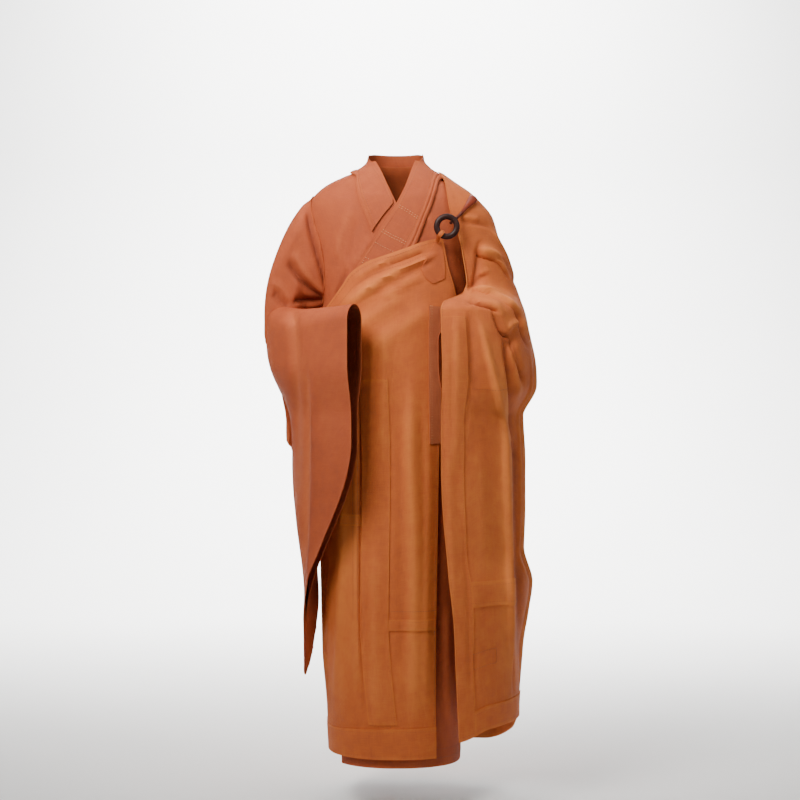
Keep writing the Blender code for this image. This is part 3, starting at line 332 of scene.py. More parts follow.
class Side(Enum):
    """Side from which a crease is drawn, as the direction that faces the viewer."""

    FRONT = (0.0, -1.0)
    BACK = (0.0, 1.0)
    LEFT = (1.0, 0.0)
    RIGHT = (-1.0, 0.0)

    @property
    def across(self) -> int:
        """Axis that runs across the view."""
        return 0 if self in (Side.FRONT, Side.BACK) else 1


def ease(value: float | Curve) -> Curve:
    """Smooth step from 0 to 1."""
    value = np.clip(value, 0.0, 1.0)
    return value * value * (3.0 - 2.0 * value)


def unit(vectors: Grid) -> Grid:
    """Vectors of length 1."""
    length = np.linalg.norm(vectors, axis=-1, keepdims=True)
    return vectors / np.maximum(length, 1e-12)


def refined(rows: Sequence[float], step: float) -> list[float]:
    """Rows with more rows between them, none further apart than a step."""
    fine = [rows[0]]
    for first, second in zip(rows[:-1], rows[1:]):
        count = max(1, math.ceil(abs(second - first) / step))
        fine += [first + (second - first) * n / count for n in range(1, count + 1)]
    return fine


def spline(points: Grid, each: int) -> Grid:
    """Catmull-Rom curve through points, along their first axis.

    Args:
        points: Points to pass through.
        each: Steps between two points.

    Returns:
        The points of the curve.
    """
    padded = np.concatenate((2 * points[:1] - points[1:2], points, 2 * points[-1:] - points[-2:-1]))
    line = []
    for i in range(1, len(points)):
        a, b, c, d = padded[i - 1], padded[i], padded[i + 1], padded[i + 2]
        for step in range(each):
            t = step / each
            line.append(0.5 * (2 * b + (c - a) * t + (2 * a - 5 * b + 4 * c - d) * t**2
                               + (3 * b - a - 3 * c + d) * t**3))
    line.append(points[-1])
    return np.array(line)


@dataclass(frozen=True)
class Crease:
    """A ridge, or a trough where the height is negative, along a path seen from one side."""

    width_from: float
    width_to: float
    height: float
    path: tuple[tuple[float, float], ...]
    side: Side
    lean: float

    def lift(self, points: Grid, normals: Grid) -> Curve:
        """How far the crease moves each point out.

        Args:
            points: Points in rows of x, y and z.
            normals: Outward directions at the points.

        Returns:
            One distance for each point.
        """
        place = points[:, (self.side.across, 2)]
        path = spline(np.array(self.path), 5)
        reach = CREASE_REACH * max(self.width_from, self.width_to)
        facing = normals[:, 0] * self.side.value[0] + normals[:, 1] * self.side.value[1]
        near = np.all((place > path.min(0) - reach) & (place < path.max(0) + reach), axis=1)
        near &= facing > 0.0
        total = np.zeros(len(points))
        if not near.any():
            return total
        starts, runs = path[:-1], np.diff(path, axis=0)
        lengths = np.linalg.norm(runs, axis=1)
        off = place[near][:, None] - starts
        share = np.clip(np.einsum("psi,si->ps", off, runs) / lengths**2, 0.0, 1.0)
        off -= share[..., None] * runs
        distance = np.linalg.norm(off, axis=2)
        nearest = distance.argmin(axis=1)
        pick = np.arange(len(nearest))
        before = np.concatenate(((0.0,), np.cumsum(lengths)))[:-1]
        along = (before + share * lengths)[pick, nearest] / lengths.sum()
        turn = (runs[:, 0] * off[..., 1] - runs[:, 1] * off[..., 0])[pick, nearest]
        width = self.width_from + (self.width_to - self.width_from) * along
        width *= 1.0 + self.lean * np.sign(turn)
        gap = distance[pick, nearest]
        section = np.exp(-((gap / width) ** CREASE_POWER))
        if abs(self.lean) > FLAP_LEAN:
            steep = np.sign(turn) != np.sign(self.lean)
            foot = (gap - FLAP_FOOT_AT * width) / FLAP_FOOT
            section -= FLAP_FOOT_DEPTH * steep * np.exp(-(foot**2))
        ends = ease(along / CREASE_FADE) * ease((1.0 - along) / CREASE_FADE)
        total[near] = self.height * section * ends * ease(facing[near] * FACING_GAIN)
        return total


def folds(side: Side, *rows: Sequence, lean: float = CREASE_LEAN) -> tuple[Crease, ...]:
    """Creases from rows in millimetres: both widths, the height and the points of the path."""
    return tuple(
        Crease(*(size / 1000.0 for size in row[:3]),
               tuple((across / 1000.0, z / 1000.0) for across, z in row[3:]), side, lean)
        for row in rows
    )


# The solids' largest folds: a soft ridge, or a trough where the height is negative
CHEST_FOLDS = folds(
    Side.FRONT,
    (16, 16, 9, (-135, -335), (22, -240)),
    (18, 18, 10, (-105, -385), (20, -300)),
    (20, 20, 8, (-80, -440), (90, -330)),
    (22, 22, 7, (-150, -420), (-130, -900)),
    (26, 26, 8, (30, -480), (45, -1330)),
    (20, 20, 7, (-125, -780), (-118, -1340)),
    lean=0.0,
)
DRAPE_FOLDS = folds(
    Side.FRONT,
    (15, 15, 10, (165, -175), (270, -245)),
    (18, 18, 12, (178, -285), (300, -400)),
    (16, 16, -14, (225, -345), (270, -430)),
    (20, 20, 12, (192, -350), (246, -620)),
    (18, 18, 12, (246, -620), (278, -1290)),
    (14, 14, -16, (222, -560), (286, -700)),
    (10, 10, -12, (272, -560), (294, -1290)),
    (24, 24, 9, (150, -420), (165, -1180)),
    lean=0.0,
)
BACK_FOLDS = folds(
    Side.BACK,
    (28, 28, 12, (150, -120), (20, -1200)),
    (30, 30, 14, (195, -240), (115, -1330)),
    (26, 26, 10, (60, -200), (-80, -1100)),
    (24, 24, 9, (-60, -420), (-125, -1330)),
    (26, 26, 12, (235, -420), (205, -1330)),
    lean=0.0,
)
# Creases of the right sleeve: they spread from the bend of the arm
SLEEVE_CREASES = folds(
    Side.FRONT,
    (9, 6, -10, (-214, -85), (-207, -134), (-198, -177), (-184, -229), (-170, -273), (-158, -314)),
    (8, 6, 5, (-196, -94), (-184, -151), (-172, -212), (-158, -288)),
    (9, 6, -10, (-261, -213), (-247, -241), (-226, -267), (-200, -291), (-167, -312)),
    (9, 6, 6, (-247, -194), (-223, -237), (-193, -274), (-162, -307)),
    (6, 6, -9, (-147, -188), (-149, -225), (-152, -267), (-154, -314)),
    (6, 6, 4, (-161, -174), (-163, -225), (-156, -290)),
    (6, 7, -5, (-178, -64), (-187, -92), (-180, -149)),
    (6, 6, 3.5, (-132, -80), (-158, -127), (-167, -170), (-160, -222)),
    (6, 6, -4, (-151, -84), (-175, -136), (-177, -192)),
    (6, 6, -10, (-258, -319), (-225, -312), (-190, -312), (-155, -317)),
    (6, 6, 4, (-243, -329), (-201, -322), (-155, -325)),
    (6, 6, -5, (-214, -326), (-233, -337), (-249, -344)),
    (6, 11, -10, (-198, -326), (-221, -351), (-244, -391), (-270, -426), (-300, -463)),
    (7, 12, 6, (-183, -333), (-211, -371), (-234, -412), (-267, -459)),
    (6, 8, 5, (-227, -341), (-255, -383), (-288, -421)),
    (6, 6, 5, (-301, -267), (-275, -282), (-258, -305), (-237, -329)),
    (9, 7, -7, (-296, -291), (-277, -315), (-254, -329)),
    (10, 6, -5, (-305, -467), (-276, -481), (-239, -495)),
    (6, 6, 7, (-218, -542), (-204, -571), (-208, -599), (-230, -628), (-251, -637)),
    (9, 6, -7, (-122, -514), (-157, -552), (-186, -594), (-219, -632)),
    (6, 6, -5, (-252, -642), (-226, -668), (-200, -690)),
    (6, 9, 5, (-206, -698), (-182, -679), (-158, -646), (-139, -613)),
    (6, 6, 5, (-238, -769), (-224, -809), (-212, -852)),
    (6, 6, -7, (-231, -797), (-217, -847), (-207, -869)),
    (6, 9, 6, (-223, -893), (-192, -879), (-168, -850), (-149, -817)),
    (6, 6, 4, (-252, -911), (-233, -942), (-214, -981)),
    (7, 6, -6, (-249, -963), (-230, -1013), (-223, -1070)),
    (14, 12, 5, (-150, -362), (-141, -501), (-136, -639), (-143, -778)),
    (12, 12, -4, (-173, -385), (-182, -501), (-173, -593)),
)
# Creases of the robe's chest and skirt
ROBE_CREASES = folds(
    Side.FRONT,
    (6, 6, -5, (-116, -239), (-130, -277), (-149, -314)),
    (7, 6, 4, (-105, -92), (-121, -136), (-138, -183), (-140, -225)),
    (7, 6, -2.5, (-91, -115), (-105, -174), (-117, -225)),
    (8, 6, 3, (-58, -165), (-81, -202), (-105, -235)),
    (6, 6, 3, (65, -109), (82, -142), (91, -184)),
    (9, 8, 5, (113, -1008), (115, -1146), (120, -1335)),
)
# Creases of the wrap's chest, drawn up toward the ring, and its long front folds
WRAP_CREASES = folds(
    Side.FRONT,
    (6, 6, 5, (-108, -276), (-58, -244), (7, -214), (77, -193)),
    (6, 6, -2.5, (-104, -290), (-58, -260), (7, -228), (90, -195)),
    (7, 6, 6, (-99, -309), (-39, -272), (30, -237), (100, -205)),
    (6, 6, -2.5, (-74, -316), (-16, -279), (42, -249), (95, -223)),
    (7, 6, 5, (-39, -316), (12, -286), (63, -258)),
    (6, 6, 4, (-108, -323), (-74, -300), (-39, -286)),
    (14, 18, 6, (35, -455), (30, -662), (39, -915), (35, -1329)),
    (10, 12, -2.5, (7, -547), (7, -823), (12, -1237)),
    (12, 12, 4, (67, -501), (72, -731), (67, -1007), (62, -1329)),
    (14, 14, 5, (-50, -869), (-53, -1099), (-43, -1329)),
    (12, 10, 5, (-120, -616), (-124, -823), (-131, -1054), (-145, -1284)),
    (10, 10, 4, (-154, -916), (-163, -1100), (-182, -1307)),
    (12, 12, 4, (-27, -363), (-32, -593), (-25, -708)),
)
# Creases over the left shoulder and forearm and down the falling end
DRAPE_CREASES = folds(
    Side.FRONT,
    (6, 6, -7, (175, -198), (193, -209), (221, -216), (242, -221), (256, -240), (268, -265)),
    (6, 6, 4, (184, -191), (217, -202), (247, -212), (261, -230)),
    (6, 6, -3, (135, -130), (170, -133), (221, -140)),
    (6, 6, 3, (147, -121), (193, -126)),
    (10, 6, -7, (193, -166), (188, -217), (179, -268), (163, -310)),
    (6, 6, -5, (212, -250), (191, -266), (174, -292)),
    (6, 6, 3, (216, -240), (195, -254)),
    (6, 6, 4, (142, -148), (149, -199), (160, -268), (160, -306)),
    (6, 6, 6, (161, -315), (177, -290), (205, -297), (237, -315), (258, -326), (271, -349)),
    (6, 6, -9, (154, -321), (186, -330), (213, -337), (238, -353)),
    (6, 6, -9, (272, -336), (281, -364), (293, -400), (314, -435)),
    (6, 6, 5, (286, -355), (300, -388), (318, -421)),
    (6, 6, -9, (219, -338), (228, -368), (239, -395), (260, -405)),
    (6, 12, -10, (241, -395), (245, -443), (252, -501), (257, -570), (254, -639)),
    (6, 6, 6, (250, -385), (267, -373), (285, -366)),
    (6, 6, -8, (259, -400), (268, -435), (280, -477), (287, -512)),
    (6, 6, 5, (253, -419), (265, -466), (277, -512), (279, -547)),
    (7, 8, 9, (147, -328), (170, -343), (188, -375), (199, -423), (215, -490), (231, -558),
     (240, -637), (247, -818), (254, -999), (261, -1135), (267, -1208)),
    (8, 8, -10, (269, -617), (272, -781), (276, -921), (281, -1062), (283, -1202)),
    (10, 14, 5, (131, -336), (133, -435), (131, -592), (128, -727)),
    (8, 14, -4, (162, -341), (167, -435), (169, -547)),
    (9, 9, 3, (113, -345), (113, -547), (119, -816), (131, -1086)),
    (22, 22, 4, (183, -637), (192, -817), (201, -997)),
    (10, 10, -3, (147, -817), (160, -997), (165, -1222)),
)
# Folds of the hanging side that lap over the cloth beside them, steep on one side
DRAPE_FLAPS = folds(
    Side.FRONT,
    (13, 10, 8.5, (179.5, -199.7), (200.8, -210.2), (236.2, -221.1), (253.8, -240.4),
     (268.2, -264.8)),
    (12, 15, 9.5, (174, -287.2), (218, -303.4), (254, -322), (275.7, -340), (288, -363.8),
     (292.5, -392.6), (316, -434.9)),
    (12, 10, 7, (150.8, -317.3), (183.2, -324.3), (218, -335), (241.1, -344)),
    lean=0.72,
)
DRAPE_FLAPS += folds(
    Side.FRONT,
    (10, 12, 8.5, (218, -336.8), (232.8, -379.5), (243.4, -393.9), (261, -400.8)),
    (10, 8, 7, (261, -400.8), (269.8, -449), (290, -493)),
    lean=0.7,
)
DRAPE_FLAPS += folds(
    Side.FRONT,
    (14, 20, 9, (243.4, -380), (246.9, -521.5), (252.2, -616.6), (252.7, -871.8), (257.3, -1104),
     (262, -1290)),
    lean=-0.72,
)
DRAPE_FLAPS += folds(
    Side.FRONT,
    (10, 12, 6, (140, -175), (148, -220), (156, -270), (160, -305)),
    lean=-0.6,
)

# Creases that the front view doesn't show, in the same manner: the back, the sides, the left sleeve
BACK_CREASES = folds(
    Side.BACK,
    (14, 22, 10, (148, -80), (120, -260), (78, -520), (52, -900), (46, -1330)),
    (9, 15, -8, (120, -90), (88, -290), (40, -560), (12, -980), (4, -1300)),
    (10, 16, 7, (88, -70), (50, -240), (0, -480), (-32, -860), (-40, -1280)),
    (10, 10, -6, (60, -100), (14, -250), (-52, -430), (-90, -700)),
    (9, 13, 6, (20, -110), (-40, -240), (-104, -420), (-124, -820), (-120, -1250)),
    (11, 18, 10, (196, -170), (176, -420), (140, -760), (132, -1340)),
    (8, 12, -9, (172, -150), (148, -380), (110, -700), (92, -1210)),
    (10, 14, -8, (226, -260), (210, -520), (176, -900), (172, -1330)),
    (12, 14, 9, (254, -330), (240, -600), (214, -940), (212, -1320)),
    (8, 7, 4, (-10, -720), (-26, -1010), (-16, -1330)),
    (10, 8, -5, (-86, -900), (-80, -1120), (-92, -1340)),
    (7, 9, 4, (-150, -400), (-158, -720), (-146, -1060)),
)
BACK_CREASES += folds(
    Side.LEFT,
    (11, 15, -9, (-60, -380), (-40, -700), (-30, -1120), (-24, -1340)),
    (12, 17, 10, (-20, -340), (-6, -640), (4, -1060), (2, -1310)),
    (9, 12, -8, (18, -400), (30, -700), (34, -1100), (40, -1320)),
    (10, 14, 8, (52, -380), (60, -740), (72, -1180), (76, -1340)),
    (8, 10, 6, (-94, -420), (-80, -720), (-76, -1000)),
    (12, 8, 6, (-70, -140), (-30, -200), (20, -270)),
    (10, 9, -6, (-78, -190), (-34, -246), (30, -300)),
    (8, 8, 4, (60, -100), (70, -190), (62, -280)),
)
WRAP_SIDE_CREASES = folds(
    Side.FRONT,
    (12, 12, 6, (-90, -480), (-91, -760), (-90.5, -930), (-88, -1100), (-80, -1290)),
    lean=-0.72,
)
WRAP_SIDE_CREASES += folds(
    Side.RIGHT,
    (10, 14, 6, (-60, -420), (-50, -800), (-56, -1320)),
    (8, 10, -4, (-20, -460), (-12, -860), (-18, -1300)),
)
BACK_BODY_CREASES = folds(
    Side.BACK,
    (10, 8, 4, (-20, -60), (-70, -120), (-140, -190)),
    (8, 7, -3, (-30, -95), (-80, -160), (-150, -240)),
    (9, 8, 3.5, (-90, -150), (-120, -220), (-150, -300)),
)
RIGHT_BACK_CREASES = folds(
    Side.BACK,
    (11, 16, 9, (-262, -240), (-240, -400), (-238, -620), (-246, -860)),
    (9, 11, -7, (-214, -160), (-238, -250), (-282, -330)),
    (8, 10, 6, (-198, -200), (-226, -300), (-272, -372)),
    (10, 14, 8, (-214, -420), (-212, -640), (-222, -960)),
    (8, 10, -6, (-196, -480), (-196, -720), (-208, -1040)),
)
RIGHT_BACK_CREASES += folds(
    Side.RIGHT,
    (10, 13, 8, (20, -330), (4, -520), (-4, -740), (-10, -930)),
    (8, 10, -7, (-30, -350), (-40, -520), (-46, -760), (-60, -980)),
    (9, 12, 7, (-74, -380), (-84, -560), (-92, -820), (-104, -1020)),
    (7, 7, 5, (60, -200), (10, -236), (-50, -250)),
    (7, 6, -5, (66, -236), (14, -276), (-46, -296)),
)
LEFT_CREASES = folds(
    Side.FRONT,
    (9, 8, -6, (160, -150), (186, -220), (222, -290)),
    (9, 10, 5, (150, -200), (172, -270), (200, -330)),
    (10, 13, 6, (180, -430), (190, -600), (196, -820)),
    (8, 10, -5, (160, -440), (172, -620), (184, -860)),
)

# Stitch lines over the front and over the falling end, as distances and heights
FRONT_SEAMS = (
    ((-0.0160, -0.640), (-0.0165, -0.960), (-0.0150, -1.300)),
    ((-0.0985, -0.640), (-0.0975, -1.053)),
    ((-0.0900, -0.640), (-0.0890, -1.053)),
    ((-0.0180, -1.034), (0.0860, -1.033)),
    ((0.0763, -0.639), (0.0947, -0.621)),
)
FALL_SEAMS = (
    ((0.157, -0.5216), (0.205, -0.523), (0.250, -0.520)),
    ((0.164, -1.004), (0.250, -0.990), (0.273, -0.967)),
    ((0.164, -0.986), (0.250, -0.979)),
    ((0.1735, -1.160), (0.2243, -1.156), (0.2240, -1.200), (0.1740, -1.204), (0.1735, -1.160)),
    ((0.1710, -1.226), (0.1500, -1.292)),
    ((0.1346, -0.1348), (0.1750, -0.137), (0.2156, -0.1394)),
)


@dataclass(frozen=True)
class Ripple:
    """Small unevenness of a cloth: height, and how long it is across and down."""

    height: float = 0.0012
    across: float = 0.055
    down: float = 0.150
    seed: float = 0.0

    def lift(self, points: Grid) -> Curve:
        """How far the unevenness moves each point, from 0 to its height."""
        shift = Vector((self.seed, self.seed * 0.7, self.seed * 1.3))
        out = np.empty(len(points))
        for i, (x, y, z) in enumerate(points):
            place = Vector((x / self.across, y / self.across, z / self.down)) + shift
            wave = noise.noise(place) * 0.7 + noise.noise(place * 2.3) * 0.3
            out[i] = self.height * (0.5 + 0.5 * wave)
        return out


class Sheet:
    """A grid of cloth points with outward directions; rows run down, columns to the left."""

    def __init__(self, points: Grid, closed: bool = False, normals: Grid | None = None,
                 fold: Grid | None = None) -> None:
        """Keep the grid and work out its directions.

        Args:
            points: Grid of points.
            closed: Whether the last column joins the first.
            normals: Outward directions, where they are known.
            fold: How far the creases have moved each point.
        """
        self.points = np.asarray(points, dtype=float)
        self.closed = closed
        self.normals = self._directions() if normals is None else normals
        self.fold = np.zeros(self.points.shape[:2]) if fold is None else fold

    def _directions(self) -> Grid:
        """Outward directions from the grid's own slopes."""
        down = np.gradient(self.points, axis=0)
        if self.closed:
            across = np.roll(self.points, -1, axis=1) - np.roll(self.points, 1, axis=1)
        else:
            across = np.gradient(self.points, axis=1)
        return unit(np.cross(down, across))

    def creased(self, creases: Iterable[Crease], share: float = 1.0,
                ripple: Ripple | None = None) -> Sheet:
        """The sheet with creases and unevenness.

        Args:
            creases: Creases to lay.
            share: Part of each crease's height that is used.
            ripple: Unevenness to add.

        Returns:
            A new sheet.
        """
        points = self.points.reshape(-1, 3)
        normals = self.normals.reshape(-1, 3)
        lift = np.zeros(len(points))
        for crease in creases:
            lift += crease.lift(points, normals) * share
        fold = lift.copy()
        if ripple:
            lift += ripple.lift(points)
        moved = (points + normals * lift[:, None]).reshape(self.points.shape)
        return Sheet(moved, self.closed, None, self.fold + fold.reshape(self.fold.shape))

    def out(self, distance: float | Grid) -> Sheet:
        """The same sheet, further out."""
        distance = np.asarray(distance, dtype=float)
        if distance.ndim == 2:
            distance = distance[..., None]
        return Sheet(self.points + self.normals * distance, self.closed, self.normals, self.fold)

    def squared(self, column: int) -> Sheet:
        """The same sheet, with one column's directions turned straight to the side."""
        normals = self.normals.copy()
        normals[:, column, 1] = 0.0
        return Sheet(self.points, self.closed, unit(normals), self.fold)

    def part(self, rows: tuple[int, int], columns: tuple[int, int]) -> Sheet:
        """A stretch of the sheet between two rows and two columns."""
        here = (slice(rows[0], rows[1] + 1), slice(columns[0], columns[1] + 1))
        return Sheet(self.points[here], False, self.normals[here], self.fold[here])

    def line(self, row: int | None = None, column: int | None = None) -> Grid:
        """Points just off the outer face along one row or column."""
        lifted = self.points + self.normals * (CLOTH + STITCH_RADIUS * 0.4)
        return lifted[row] if row is not None else lifted[:, column]

    def lengths(self) -> tuple[Grid, Grid]:
        """Length along each row and down each column, up to each point."""
        points = self.points
        if self.closed:
            points = np.concatenate((points, points[:, :1]), axis=1)
        across = np.linalg.norm(np.diff(points, axis=1), axis=2)
        down = np.linalg.norm(np.diff(points, axis=0), axis=2)
        u = np.concatenate((np.zeros((len(points), 1)), np.cumsum(across, axis=1)), axis=1)
        v = np.concatenate((np.zeros((1, points.shape[1])), np.cumsum(down, axis=0)), axis=0)
        return u, v


class Figure:
    """The sections that every cloth follows, round the wearer's general form."""

    @staticmethod
    def plan(turns: Curve, right: Curve, left: Curve, front: Curve, back: Curve) -> Grid:
        """Points of plan curves; turn 0 is the front, 90 the wearer's left, 180 the back.

        Args:
            turns: Degrees round the figure.
            right: Reach to the wearer's right.
            left: Reach to the wearer's left.
            front: Reach to the front.
            back: Reach to the back.

        Returns:
            Rows of x and y.
        """
        angle = np.radians(turns)
        across, along = np.sin(angle), np.cos(angle)
        power = 2.0 / PLAN_POWER
        x = np.where(across >= 0, left, right) * np.sign(across) * np.abs(across) ** power
        y = -np.where(along >= 0, front, back) * np.sign(along) * np.abs(along) ** power
        return np.stack((x, y), axis=-1)

    @classmethod
    def body(cls, z: float | Curve, turns: Curve, out: float | Curve = 0.0) -> Grid:
        """Points outside the figure's sections at heights z."""
        sizes = [BODY.at(name, z) + out for name in ("right", "left", "front", "back")]
        flat = cls.plan(turns, *sizes)
        return np.concatenate((flat, np.broadcast_to(z, flat.shape[:-1])[..., None]), axis=-1)

    @classmethod
    def drape(cls, z: float | Curve, turns: Curve) -> Grid:
        """Points of the wrap where it hangs from the left shoulder and round the back."""
        sizes = [BODY.at("right", z) + WRAP_OUT]
        sizes += [DRAPE.at(name, z) for name in ("left", "front", "back")]
        low = DRAPE_ROWS[-1]
        share = np.maximum(0.0, (HEM_BEND_FROM_Z - z) / (HEM_BEND_FROM_Z - low))
        height = z + share * (DRAPE_HEM.at("z", turns) - low)
        flat = cls.plan(turns, *sizes)
        return np.concatenate((flat, np.broadcast_to(height, flat.shape[:-1])[..., None]), axis=-1)

    @staticmethod
    def turn_at(x: Curve, half_width: Curve) -> Curve:
        """Degrees round the front of a plan curve at a distance x from the middle."""
        share = np.minimum(np.abs(x) / half_width, 1.0)
        return np.sign(x) * np.degrees(np.arcsin(share ** (PLAN_POWER / 2.0)))

    @classmethod
    def front_turn(cls, z: float | Curve, x: float | Curve, out: float = 0.0) -> Curve:
        """Degrees round the figure's front at height z and distance x."""
        reach = np.where(np.asarray(x) >= 0, BODY.at("left", z), BODY.at("right", z))
        return cls.turn_at(np.asarray(x), reach + out)

    @classmethod
    def drape_turn(cls, z: float | Curve, x: float | Curve) -> Curve:
        """Degrees round the front of the wrap's left side."""
        return cls.turn_at(np.asarray(x), DRAPE.at("left", z))

    @classmethod
    def back_turn(cls, z: float | Curve, x: float | Curve) -> Curve:
        """Degrees round the wrap's back at height z and distance x."""
        right = BODY.at("right", z) + WRAP_OUT
        reach = np.where(np.asarray(x) >= 0, DRAPE.at("left", z), right)
        return 180.0 - cls.turn_at(np.asarray(x), reach)

    @classmethod
    def on_wrap(cls, x: Curve, z: Curve) -> Grid:
        """Points of the wrap's front at distance x and height z."""
        return cls.body(z, cls.front_turn(z, x, WRAP_OUT), WRAP_OUT)

    @classmethod
    def on_drape(cls, x: Curve, z: Curve) -> Grid:
        """Points of the wrap's hanging side at distance x and height z."""
        return cls.drape(z, cls.drape_turn(z, x))

    @staticmethod
    def overlap_out(turns: Curve) -> Curve:
        """How far the robe's left front lies out, from nothing at its side seam."""
        return OVERLAP_OUT * ease((90.0 - np.asarray(turns)) / 40.0)

    @staticmethod
    def armhole_cut(z: float | Curve) -> Curve:
        """Degrees by which the armhole sets a side edge back at height z."""
        height = (np.asarray(z) - ARMHOLE_MIDDLE_Z) / ARMHOLE_HALF_HEIGHT
        return ARMHOLE_HALF_TURN * np.sqrt(np.maximum(0.0, 1.0 - height * height))


class Held(Enum):
    """How a cloth is held."""

    DRAPED = "draped"
    HUNG = "hung"
    FOLDED = "folded"


def added(name: str, data: bpy.types.ID) -> bpy.types.Object:
    """A new object, linked to the scene."""
    made = bpy.data.objects.new(name, data)
    bpy.context.scene.collection.objects.link(made)
    return made


class Workshop:
    """Makes the shells and small solids, and gives each its place in the frame."""

    def __init__(self) -> None:
        """Start with nothing made."""
        self.seams: dict[str, list[Grid]] = {"robe": [], "wrap": [], "cross": []}

    @staticmethod
    def place(made: bpy.types.Object, slot: str, nodes: Sequence[str]) -> None:
        """Attach a finished object to its body and hide the solids that it stands for."""
        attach(made, "root")
        if nodes:
            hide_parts(*nodes)
        LOG.info("%s: %d faces", made.name, len(made.data.polygons))

    @staticmethod
    def solid(name: str, points: Sequence, faces: Sequence, surface: bpy.types.Material,
              sharp: float = 50.0) -> bpy.types.Object:
        """A closed object from points and faces.

        Args:
            name: Name of the object.
            points: Its points.
            faces: Its faces as indices of points.
            surface: Its material.
            sharp: Angle in degrees past which an edge stays crisp.

        Returns:
            The object, linked to the scene.
        """
        mesh = bpy.data.meshes.new(name)
        mesh.from_pydata([tuple(map(float, point)) for point in points], [], faces)
        shape = bmesh.new()
        shape.from_mesh(mesh)
        bmesh.ops.recalc_face_normals(shape, faces=shape.faces)
        shape.to_mesh(mesh)
        shape.free()
        mesh.materials.append(surface)
        mesh.shade_smooth()
        mesh.set_sharp_from_angle(angle=math.radians(sharp))
        return added(name, mesh)

    def shell(self, name: str, sheet: Sheet, cloth: Cloth, nodes: Sequence[str],
              thick: float = CLOTH) -> bpy.types.Object:
        """A thin closed cloth whose outer face lies a thickness outside the sheet.

        Args:
            name: Name of the piece.
            sheet: Grid that the cloth follows.
            cloth: Finish of the cloth.
            nodes: Solids that the piece stands for.
            thick: Distance of its outer face from the sheet.

        Returns:
            The finished piece.
        """
        rows, columns = sheet.points.shape[:2]
        inner = sheet.out(SHELL_IN).points.reshape(-1, 3)
        outer = sheet.out(thick).points.reshape(-1, 3)
        count = rows * columns
        spans = columns if sheet.closed else columns - 1
        down, across = np.meshgrid(np.arange(rows - 1), np.arange(spans), indexing="ij")
        here = (down * columns + across).ravel()
        there = (down * columns + (across + 1) % columns).ravel()
        below, beyond = here + columns, there + columns
        front = np.stack((here, below, beyond, there), axis=1) + count
        back = np.stack((here, there, beyond, below), axis=1)
        rims = []
        step = np.arange(spans)
        after = (step + 1) % columns
        rims.append(np.stack((step + count, after + count, after, step), axis=1))
        low = (rows - 1) * columns
        rims.append(np.stack((step, after, after + count, step + count), axis=1) + low)
        if not sheet.closed:
            side = np.arange(rows - 1) * columns
            under = side + columns
            rims.append(np.stack((side + count, side, under, under + count), axis=1))
            side, under = side + columns - 1, under + columns - 1
            rims.append(np.stack((side, side + count, under + count, under), axis=1))
        faces = np.concatenate([front, back] + rims)
        mesh = bpy.data.meshes.new(name)
        mesh.from_pydata(np.concatenate((inner, outer)).tolist(), [], faces.tolist())
        self._dress(mesh, sheet, faces)
        mesh.materials.append(cloth.material())
        mesh.shade_smooth()
        mesh.set_sharp_from_angle(angle=math.radians(50.0))
        made = added(name, mesh)
        self.place(made, cloth.slot, nodes)
        return made

    @staticmethod
    def _dress(mesh: bpy.types.Mesh, sheet: Sheet, faces: Grid) -> None:
        """Write the cloth's own map in metres, and how deep each point lies in its folds."""
        u, v = sheet.lengths()
        rows, columns = sheet.points.shape[:2]
        count = rows * columns
        grid = faces % count
        column = grid % columns
        row = grid // columns
        if sheet.closed:
            wraps = (column.max(axis=1) == columns - 1) & (column.min(axis=1) == 0)
            column = np.where(wraps[:, None] & (column == 0), columns, column)
        layer = mesh.uv_layers.new(name="cloth")
        uv = np.stack((u[row, column], v[row, np.minimum(column, v.shape[1] - 1)]), axis=2)
        layer.data.foreach_set("uv", uv.reshape(-1))
        # The fold depth feeds the cloth's colour, which paints shade into the troughs and highlight
        # onto the ridges.
        deep = np.clip(sheet.fold.reshape(-1) / 0.010, -1.0, 1.0)
        fold = mesh.attributes.new("fold", "FLOAT", "POINT")
        fold.data.foreach_set("value", np.concatenate((deep, deep)).astype(np.float32))
        free = np.minimum(v, v[-1:] - v)[:, :columns]
        if not sheet.closed:
            free = np.minimum(free, np.minimum(u, u[:, -1:] - u))
        near = np.exp(-free.reshape(-1) / RUBBED_WIDTH)
        edge = mesh.attributes.new("edge", "FLOAT", "POINT")
        edge.data.foreach_set("value", np.concatenate((near, near)).astype(np.float32))

    @staticmethod
    def loft(rings: Grid) -> list[list[int]]:
        """Faces of a solid through closed rings, flat at its ends."""
        count, sides = rings.shape[:2]
        faces = [list(range(sides))[::-1]]
        for ring in range(count - 1):
            for step in range(sides):
                a, b = ring * sides + step, ring * sides + (step + 1) % sides
                faces.append([a, b, b + sides, a + sides])
        faces.append([(count - 1) * sides + step for step in range(sides)])
        return faces


Colour = tuple[float, float, float, float]


class Value:
    """A number on a node's socket; sums written with it add Math nodes."""

    def __init__(self, bench: Bench, socket: bpy.types.NodeSocket) -> None:
        """Hold a socket and the bench that it belongs to."""
        self.bench = bench
        self.socket = socket

    def _with(self, operation: str, *values: Value | float) -> Value:
        """The result of a Math operation."""
        made = self.bench.node("ShaderNodeMath", {"operation": operation}, dict(enumerate(values)))
        return Value(self.bench, made.outputs[0])

    def __add__(self, other: Value | float) -> Value:
        """Sum."""
        return self._with("ADD", self, other)

    def __sub__(self, other: Value | float) -> Value:
        """Difference."""
        return self._with("SUBTRACT", self, other)

    def __mul__(self, other: Value | float) -> Value:
        """Product."""
        return self._with("MULTIPLY", self, other)

    __radd__ = __add__
    __rmul__ = __mul__

    def wave(self) -> Value:
        """Sine."""
        return self._with("SINE", self)

    def held(self, low: float, high: float) -> Value:
        """Value kept between two limits."""
        return self._with("MINIMUM", self._with("MAXIMUM", self, low), high)


